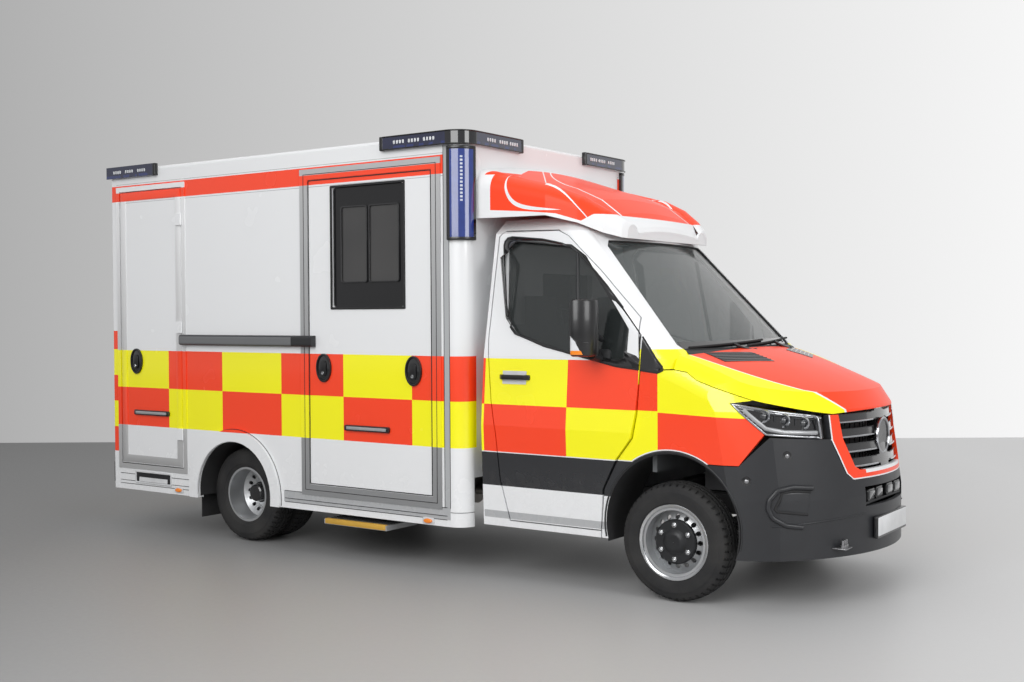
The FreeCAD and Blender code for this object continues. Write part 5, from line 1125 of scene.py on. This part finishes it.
def grille_trim():
    """Bright edges on the slats and a bare round disc at the middle."""
    face = Surface("grille", "x", 1)
    joined("slat_edges", *[
        face.rod("edge", [(sign * 0.118, z + up), (sign * reach, z + up)], lift, radius, finish)
        for z, reach in ((0.811, 0.376), (0.8985, 0.424), (0.986, 0.458), (1.0735, 0.466)) for sign in (-1, 1)
        for up, lift, radius, finish in ((0.0, 0.002, 0.006, "lamp bowl"), (0.046, 0.001, 0.003, "bumper moulding"))])
    spot = (face.height(0.0, 0.97) - 0.002, 0.0, 0.97)
    disc = turned("disc", "x", spot, [(-0.004, 0.11), (0.01, 0.11), (0.014, 0.104), (0.013, 0.094), (0.008, 0.09),
                                      (0.007, 0.002), (-0.004, 0.002)], "gloss black", steps=56)
    rim = turned("rim", "x", spot, [(0.008, 0.112), (0.014, 0.1115), (0.018, 0.107), (0.018, 0.102), (0.013, 0.098),
                                    (0.008, 0.098)], "lamp bowl", steps=56)
    joined("badge_place", rim, disc)
    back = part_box("grille")[1][0] - 0.16
    joined("grille_mesh", *[rod("row", [(back - abs(y) * 0.1, y, z) for z in (0.8, 1.1)], 0.003, "soft black")
                            for y in [-0.42 + 0.07 * step for step in range(13)]])


def sensors(surface):
    """Two parking sensors with their rings, square to the bumper."""
    pieces = []
    for x, z in ((2.729, 0.899), (2.541, 0.756)):
        way = Vector(surface.point(x + 0.02, z)) - Vector(surface.point(x - 0.02, z))
        out = Vector((way.y, -way.x, 0.0)).normalized()
        out *= -1 if out.y > 0 else 1
        turn = Matrix.Translation(surface.point(x, z)) @ out.to_track_quat("X", "Z").to_matrix().to_4x4()
        for profile, finish in (
                ([(-0.004, 0.013), (0.003, 0.012), (0.005, 0.009), (0.006, 0.002), (-0.004, 0.002)], "tow steel"),
                ([(-0.004, 0.029), (0.001, 0.027), (0.002, 0.012), (-0.004, 0.012)], "gloss black")):
            piece = spun("x", profile, 24)
            piece.matrix_world = turn
            pieces.append(kept(piece, "sensor", finish))
    return joined("bumper_sensors_right", *pieces)


def number_plate(name, back, face, outer, inner, edge):
    """A blank number plate on its holder, between heights; the places run from the holder to the front."""
    plate(name % "plate_holder", "x", rounded(-0.268, 0.268, *outer, 0.008), *back, "handle black", edge=0.002)
    plate(name % "number_plate", "x", rounded(-0.26, 0.26, *inner, 0.006), *face, "plate white", edge=edge)


def bumper_trim():
    """Fog lamp recess with its rim, sensors, flashers in the lower opening, blank plate and tow bracket."""
    front = Surface("front_bumper", "x", 1)
    crescent = [(-0.7, 0.712), (-0.8, 0.722), (-0.866, 0.705), (-0.896, 0.65), (-0.9, 0.6), (-0.885, 0.545),
                (-0.84, 0.505), (-0.76, 0.49)]
    rim = front.rod("rim", crescent, 0.0, 0.016, "bumper moulding", step=0.025, smooth=True)
    dark = CAB_FRONT.skin("dark", [(-0.872, 0.592), (-0.735, 0.566), (-0.715, 0.69), (-0.852, 0.69)], 0.0015,
                          0.003, "bumper moulding", cells=(12, 10), edge=0.002)
    inner = front.rod("inner", [(-0.715, 0.69), (-0.8, 0.7), (-0.85, 0.69), (-0.88, 0.6), (-0.872, 0.585),
                                (-0.735, 0.562)], 0.001, 0.008, "soft black", step=0.025)
    crease = [(-0.89, 0.5), (-0.6, 0.52), (-0.345, 0.535)]
    for piece in (joined("fog_recess_right", dark, rim, inner), sensors(Surface("front_bumper", "y", -1)),
                  front.rod("bumper_crease_right", crease, 0.0, 0.005, "bumper moulding")):
        other_side(piece)
    joined("front_flashers", *[
        plate("flasher", "x", rounded(y - reach, y + reach, z0, z1, radius), NOSE_TIP + x0, NOSE_TIP + x1, finish,
              edge=edge) for y in (-0.235, -0.095, 0.095, 0.235) for reach, z0, z1, radius, x0, x1, finish, edge in (
                  (0.058, 0.598, 0.668, 0.014, -0.085, -0.045, "handle black", 0.004),
                  (0.048, 0.61, 0.656, 0.01, -0.046, -0.04, "dark lens", 0.003))])
    plate("flasher_bar", "x", [(-0.325, 0.58), (0.325, 0.58), (0.325, 0.596), (-0.325, 0.596)], NOSE_TIP - 0.12,
          NOSE_TIP - 0.05, "black moulding", edge=0.003)
    tip = front.height(0.0, 0.45)
    number_plate("%s", (tip - 0.02, tip + 0.004), (tip + 0.003, tip + 0.007), (0.376, 0.506), (0.39, 0.5), 0.002)
    shelf = plate("shelf", "z", rounded(NOSE_TIP - 0.16, NOSE_TIP - 0.07, -0.595, -0.485, 0.012), 0.352, 0.358,
                  "tow steel", edge=0.002)
    pins = [turned("pin", "z", (NOSE_TIP - 0.1, y, 0.357), [
        (0.0, 0.012), (0.018, 0.012), (0.02, 0.007), (0.045, 0.007), (0.045, 0.001), (0.0, 0.001)], "tow steel",
        steps=16) for y in (-0.57, -0.54, -0.51)]
    joined("tow_bracket", *pins, shelf)


def arch_trim(side, sign):
    """The black lip round a front wheel arch and the liner behind it."""
    surface = Surface("front_wings front_bumper cab_door_right cab_shell", "y", -1)
    spots = [(x, surface.height(x, z), z) for x, z in arc(AXLE, FRONT_ARCH_Z, 0.449, -12, 192, 44)]
    rod("arch_lip_" + side, [(x, -sign * y, z) for x, y, z in spots if y is not None and y < -0.9], 0.006,
        "black moulding")
    arch_liner("front_liner_" + side, AXLE, FRONT_ARCH_Z, 0.444, sign * 0.56, sign * 0.975, -14, 196)


door_trim()
mirror_trim()
screen_trim()
bonnet_trim()
fairing_lip()
headlamp()
grille_trim()
bumper_trim()
for side, sign in SIDES:
    arch_trim(side, sign)


# ---------------------------------------------------------------- lights, roof and rear
CORNER = 0.113  # radius of the box's front corners
MODULE_HEIGHTS = (2.83, 2.926)
CELL_HEIGHTS = (2.868, 2.892)
CELL_WIDTH, CELL_STEP = 0.015, 0.026


def box_corner(sign, radius, start, end, steps):
    """Points round a front corner of the box; 0 degrees is ahead and 90 to the side."""
    return [(x, sign * y) for x, y in arc(BOX_FRONT - CORNER, HALF - CORNER, radius, start, end, steps)]


def module_caps():
    """Black end caps and ribs on the warning lights, the corner columns and the rows of light cells."""
    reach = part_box("warning_lights")[1][1]
    front, back = BOX_FRONT + 0.03, BOX_REAR - 0.03
    pieces, cells = [], []
    for sign in (-1, 1):
        ends = (sign * (reach - 0.032), sign * (reach + 0.003))
        for axis, u0, u1, w0, w1 in (
                ("x", *ends, BOX_FRONT - 0.684, BOX_FRONT - 0.655), ("x", *ends, BOX_REAR + 0.545, BOX_REAR + 0.572),
                ("y", front - 0.032, front + 0.003, sign * 0.408, sign * 0.436),
                ("y", back - 0.003, back + 0.032, *beside(sign, -0.572, -0.544))):
            pieces.append(plate("cap", axis, rounded(u0, u1, *MODULE_HEIGHTS, 0.008), w0, w1, "handle black",
                                edge=0.004))
        for z in (2.835, 2.921):
            line = [(BOX_FRONT - 0.65, sign * (reach + 0.002)), *box_corner(sign, 0.146, 90, 0, 10),
                    (front + 0.002, sign * 0.44)]
            pieces.append(rod("edge", [(x, y, z) for x, y in line], 0.0045, "handle black"))
        for z in (2.205, 2.8):
            pieces.append(plate("column_cap", "z", box_corner(sign, 0.141, 0, 90, 15) + box_corner(
                sign, 0.11, 90, 0, 15), z, z + 0.022, "handle black", edge=0.004))
        side = (sign * (reach - 0.001), sign * (reach + 0.0025))
        groups = [("y", start + gap * group, 1, side) for group in range(3) for start, gap in (
            (BOX_FRONT - 0.56, 0.13), (BOX_REAR + 0.06, 0.15))]
        groups += [("x", start, sign, (face, face + 0.0035)) for face, starts in (
            (front - 0.001, (0.48, 0.6, 0.74)), (back - 0.0025, (0.56, 0.72, 0.86))) for start in starts]
        for axis, start, way, faces in groups:
            for near in [start + dot * CELL_STEP for dot in range(4)]:
                cells.append(plate("cell", axis, rounded(way * near, way * (near + CELL_WIDTH), *CELL_HEIGHTS, 0.004),
                                   *faces, "clear lens", edge=0.001))
    joined("light_caps", *pieces)
    joined("light_cells", *cells)


def roof_fittings():
    """Roof hatch, ventilator, aerial and the joints of the roof skin."""
    ring("hatch_frame", "z", (-1.35, -0.75, -0.3, 0.3), (0.0, 0.04), (0.05, 0.03), ROOF - 0.004, ROOF + 0.018,
         "white fitting", edge=0.005)
    plate("hatch_lid", "z", rounded(-1.305, -0.795, -0.255, 0.255, 0.03), ROOF - 0.004, ROOF + 0.012, "gloss black",
          edge=0.006)
    turned("roof_vent", "z", (-2.2, 0.0, ROOF), [(-0.004, 0.16), (0.006, 0.16), (0.014, 0.12), (0.018, 0.04),
                                                  (0.018, 0.001), (-0.004, 0.001)], "white fitting")
    joined("roof_joints", *[rod("joint", [(BOX_REAR + 0.05, y, ROOF + 0.001), (BOX_FRONT - 0.1, y, ROOF + 0.001)],
                                0.003, "white fitting") for y in (-0.86, 0.86)])
    turned("aerial_base", "z", (0.15, 0.0, ROOF), [(-0.004, 0.03), (0.008, 0.028), (0.014, 0.012), (0.016, 0.001),
                                                   (-0.004, 0.001)], "handle black", steps=24)


def rear_fittings():
    """Handle, hinge seams, lamps, plate, window rubbers and step grid at the back."""
    back = BOX_REAR
    for side, sign in SIDES:
        door = "rear_door_" + side
        ring("rear_window_rubber_" + side, "x", (*sorted((sign * 0.215, sign * 0.735)), 1.77, 2.44),
             (-0.014, 0.004), (0.05, 0.036), back - 0.005, back + 0.006, "soft black", door, steps=6)
        rod("rear_seam_" + side, [(back + 0.002, sign * y, z) for y, z in (
            (0.954, 0.566), (0.954, 2.73), (0.006, 2.73))], 0.003, "soft black", door)
        centre = sign * 1.01
        joined("tail_lenses_" + side, *[
            plate("lens", "x", rounded(centre - 0.036, centre + 0.036, z0, z1, 0.012), back - 0.0255, back - 0.02,
                  finish, edge=0.003) for z0, z1, finish in (
                      (0.89, 1.0, "clear lens"), (1.005, 1.11, "amber lens"), (1.115, 1.23, "red lens"))])
        plate("reflector_" + side, "x", rounded(centre - 0.03, centre + 0.03, 0.66, 0.74, 0.008), back - 0.006,
              back + 0.002, "red lens", edge=0.003)
        plate("work_lamp_rear_" + side, "x", rounded(sign * 0.45, sign * 0.65, 2.55, 2.61, 0.02), back - 0.022,
              back + 0.002, "lamp bowl", door, 0.006)
    door = "rear_door_right"
    rim = plate("rim", "x", oval(-0.1, 1.36, 0.05, 0.09), back - 0.01, back + 0.002, "handle black", door, 0.003,
                hole=oval(-0.1, 1.36, 0.04, 0.078))
    bed = plate("bed", "x", oval(-0.1, 1.36, 0.042, 0.08), back - 0.003, back + 0.002, "gloss black", door, 0.0)
    pull = plate("pull", "x", rounded(-0.122, -0.078, 1.3, 1.42, 0.018), back - 0.017, back - 0.003,
                 "handle black", door, 0.004)
    joined("rear_handle", pull, bed, rim)
    number_plate("rear_%s", (-3.073, -3.06), (-3.076, -3.072), (0.374, 0.506), (0.384, 0.496), 0.001)
    joined("bumper_grid", *[plate("rib", "z", rounded(x, x + 0.006, -0.9, 0.9, 0.002, 1), 0.519, 0.524,
                                  "gloss black", edge=0.0) for x in (-3.055, -3.039, -3.023, -3.007)])
    rod("gutter_rear", [(back - 0.002, y, 2.835) for y in (-1.05, 1.05)], 0.006, "grey aluminium")
    plate("plate_lamp", "x", rounded(-0.05, 0.05, 0.53, 0.55, 0.006), back - 0.018, back + 0.002, "handle black",
          edge=0.003)
    plate("reversing_camera", "x", rounded(-0.045, 0.045, 2.765, 2.82, 0.014), back - 0.034, back + 0.002,
          "handle black", edge=0.008)


def profile_lines():
    """The fine lines of the aluminium skirt and corner profiles."""
    for side, sign in SIDES:
        y, = beside(sign, 0.0008)
        runs = [([(at(x), y, z) for x in ends], 0.0022) for z in (0.362, 0.388, 0.443)
                for ends in ((-4.98, -4.15), (-3.1, -1.6))]
        runs += [([(at(x), y, 0.44), (at(x), y, 2.83)], 0.002) for x in (-1.619, -1.573)]
        runs.append(([(at(-1.573), y, 0.413)] + [(*spot, 0.413) for spot in box_corner(sign, 0.1135, 90, 0, 10)],
                     0.002))
        joined("profile_lines_" + side, *[rod("line", run, radius, "dark hub") for run, radius in runs])


def cab_inside_trim():
    """Headrests' posts, belts, sun visors, instrument hood, screen and gear lever."""
    pieces = []
    for sign in (-1, 1):
        y = sign * 0.48
        belt = sign * 0.235
        pieces += [plate("visor", "z", rounded(at(-0.86), at(-0.66), y - 0.2, y + 0.2, 0.03), 2.165, 2.182,
                         "headlining", edge=0.006),
                   plate("belt", "y", to_model((-1.235, 1.75), (-1.195, 1.75), (-1.02, 1.05), (-1.06, 1.05)),
                         belt - 0.001, belt + 0.001, "soft black", edge=0.0)]
    joined("cab_visors_belts", *pieces)
    plate("instrument_hood", "y", to_model((-0.56, 1.275), (-0.3, 1.325), (-0.28, 1.4), (-0.42, 1.415),
                                           (-0.54, 1.36)), 0.27, 0.61, "dash moulding", edge=0.012, rings=3)
    plate("dash_screen", "y", rounded(at(-0.575), at(-0.555), 1.15, 1.28, 0.005, 1), -0.12, 0.12, "gloss black",
          edge=0.003)
    rod("gear_lever", [(at(x), 0.02, z) for x, z in ((-0.48, 1.06), (-0.56, 1.12), (-0.6, 1.19))], 0.012,
        "dash moulding", smooth=True)
    joined("headrest_posts", *[rod("post", [(at(-1.24), y, 1.64), (at(-1.24), y, 1.66)], 0.008, "bright nut")
                               for y in (-0.54, -0.42, 0.42, 0.54)])
    plate("roof_lining", "z", rounded(at(-1.31), at(-0.86), -0.62, 0.62, 0.06), 2.282, 2.288, "headlining",
          edge=0.002)


module_caps()
roof_fittings()
rear_fittings()
profile_lines()
cab_inside_trim()


# ---------------------------------------------------------------- floor, light and camera
YAW = radians(34.972)


def to_the_right(paint, offset, span):
    """A share that grows to the right as the camera sees it."""
    return (paint.x * 0.8195 + paint.y * 0.5732 + offset) / span


def floor_paint():
    """Grey studio floor, with painted shade making it darker towards the left."""
    paint = Paint("studio floor")
    # painted shade: the floor grey falls off towards the left
    color = paint.blend(to_the_right(paint, 3.5, 9.0), (0.2, 0.2, 0.2), (0.66, 0.66, 0.66))
    return paint.made(Base_Color=color, Roughness=0.42 + paint.noise(30.0, 4.0) * 0.1)


def wall_paint():
    """Pale wall that gives its own light, with painted shade making it darker towards the left, and clear when seen
    from behind.
    """
    paint = Paint("studio wall")
    behind = paint.add("ShaderNodeNewGeometry", {}, output="Backfacing")
    # painted shade: the wall's glow falls off towards the left
    color = paint.blend(to_the_right(paint, 7.5, 15.0), (0.4, 0.4, 0.4), (0.92, 0.92, 0.92))
    return paint.made(Base_Color=(0.0, 0.0, 0.0), Roughness=1.0, Emission_Color=color, Emission_Strength=1.0,
                      Alpha=1.0 - behind)


def studio():
    for name, place, tilt, material in (("studio_floor", (13.04, -18.3, 0.0), 0.0, floor_paint()),
                                        ("studio_wall", (-4.16, 6.3, 30.0), pi / 2, wall_paint())):
        sheet = blank(bpy.ops.mesh.primitive_plane_add, size=60.0, location=place, rotation=(tilt, 0.0, YAW))
        bpy.ops.object.transform_apply(location=True, rotation=True, scale=True)
        sheet.name = name
        sheet.data.materials.append(material)
        sheet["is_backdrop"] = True
    world = bpy.context.scene.world = bpy.data.worlds.new("studio")
    world.use_nodes = True
    sky = world.node_tree.nodes["Background"].inputs
    sky[0].default_value, sky[1].default_value = (0.8, 0.8, 0.81, 1.0), 0.64
    bpy.context.scene.view_settings.view_transform = "Standard"
    for name, place, aim, size, power in (
            ("key", (2.5, -10.0, 6.0), (0.0, -1.0, 1.2), 7.0, 690.0),
            ("front", (10.0, -2.5, 4.5), (2.5, 0.0, 1.2), 4.0, 250.0),
            ("top", (0.0, 0.0, 8.5), (0.0, 0.0, 0.0), 7.0, 130.0),
            ("rear", (-8.0, 5.0, 5.0), (-2.0, 0.0, 1.5), 5.0, 200.0)):
        light = bpy.data.lights.new(name, "AREA")
        light.energy, light.size = power, size
        lamp = bpy.data.objects.new(name, light)
        lamp.location = place
        lamp.rotation_euler = (Vector(aim) - Vector(place)).to_track_quat("-Z", "Y").to_euler()
        bpy.context.scene.collection.objects.link(lamp)


def camera():
    eye = bpy.data.cameras.new("camera")
    eye.lens, eye.sensor_width, eye.clip_end = 43.316, 36.0, 200.0
    holder = bpy.data.objects.new("camera", eye)
    turn = Matrix.Rotation(YAW, 4, "Z") @ Matrix.Rotation(pi / 2 + radians(-1.2466), 4, "X")
    turn = turn @ Matrix.Rotation(-radians(0.2944), 4, "Z")
    holder.matrix_world = Matrix.Translation((5.471, -7.466, 1.719)) @ turn
    bpy.context.scene.collection.objects.link(holder)
    bpy.context.scene.camera = holder


studio()
camera()
visual_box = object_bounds()
[[[round(value, 5) for value in corner] for corner in limits]
           for limits in (cad_box, visual_box)]
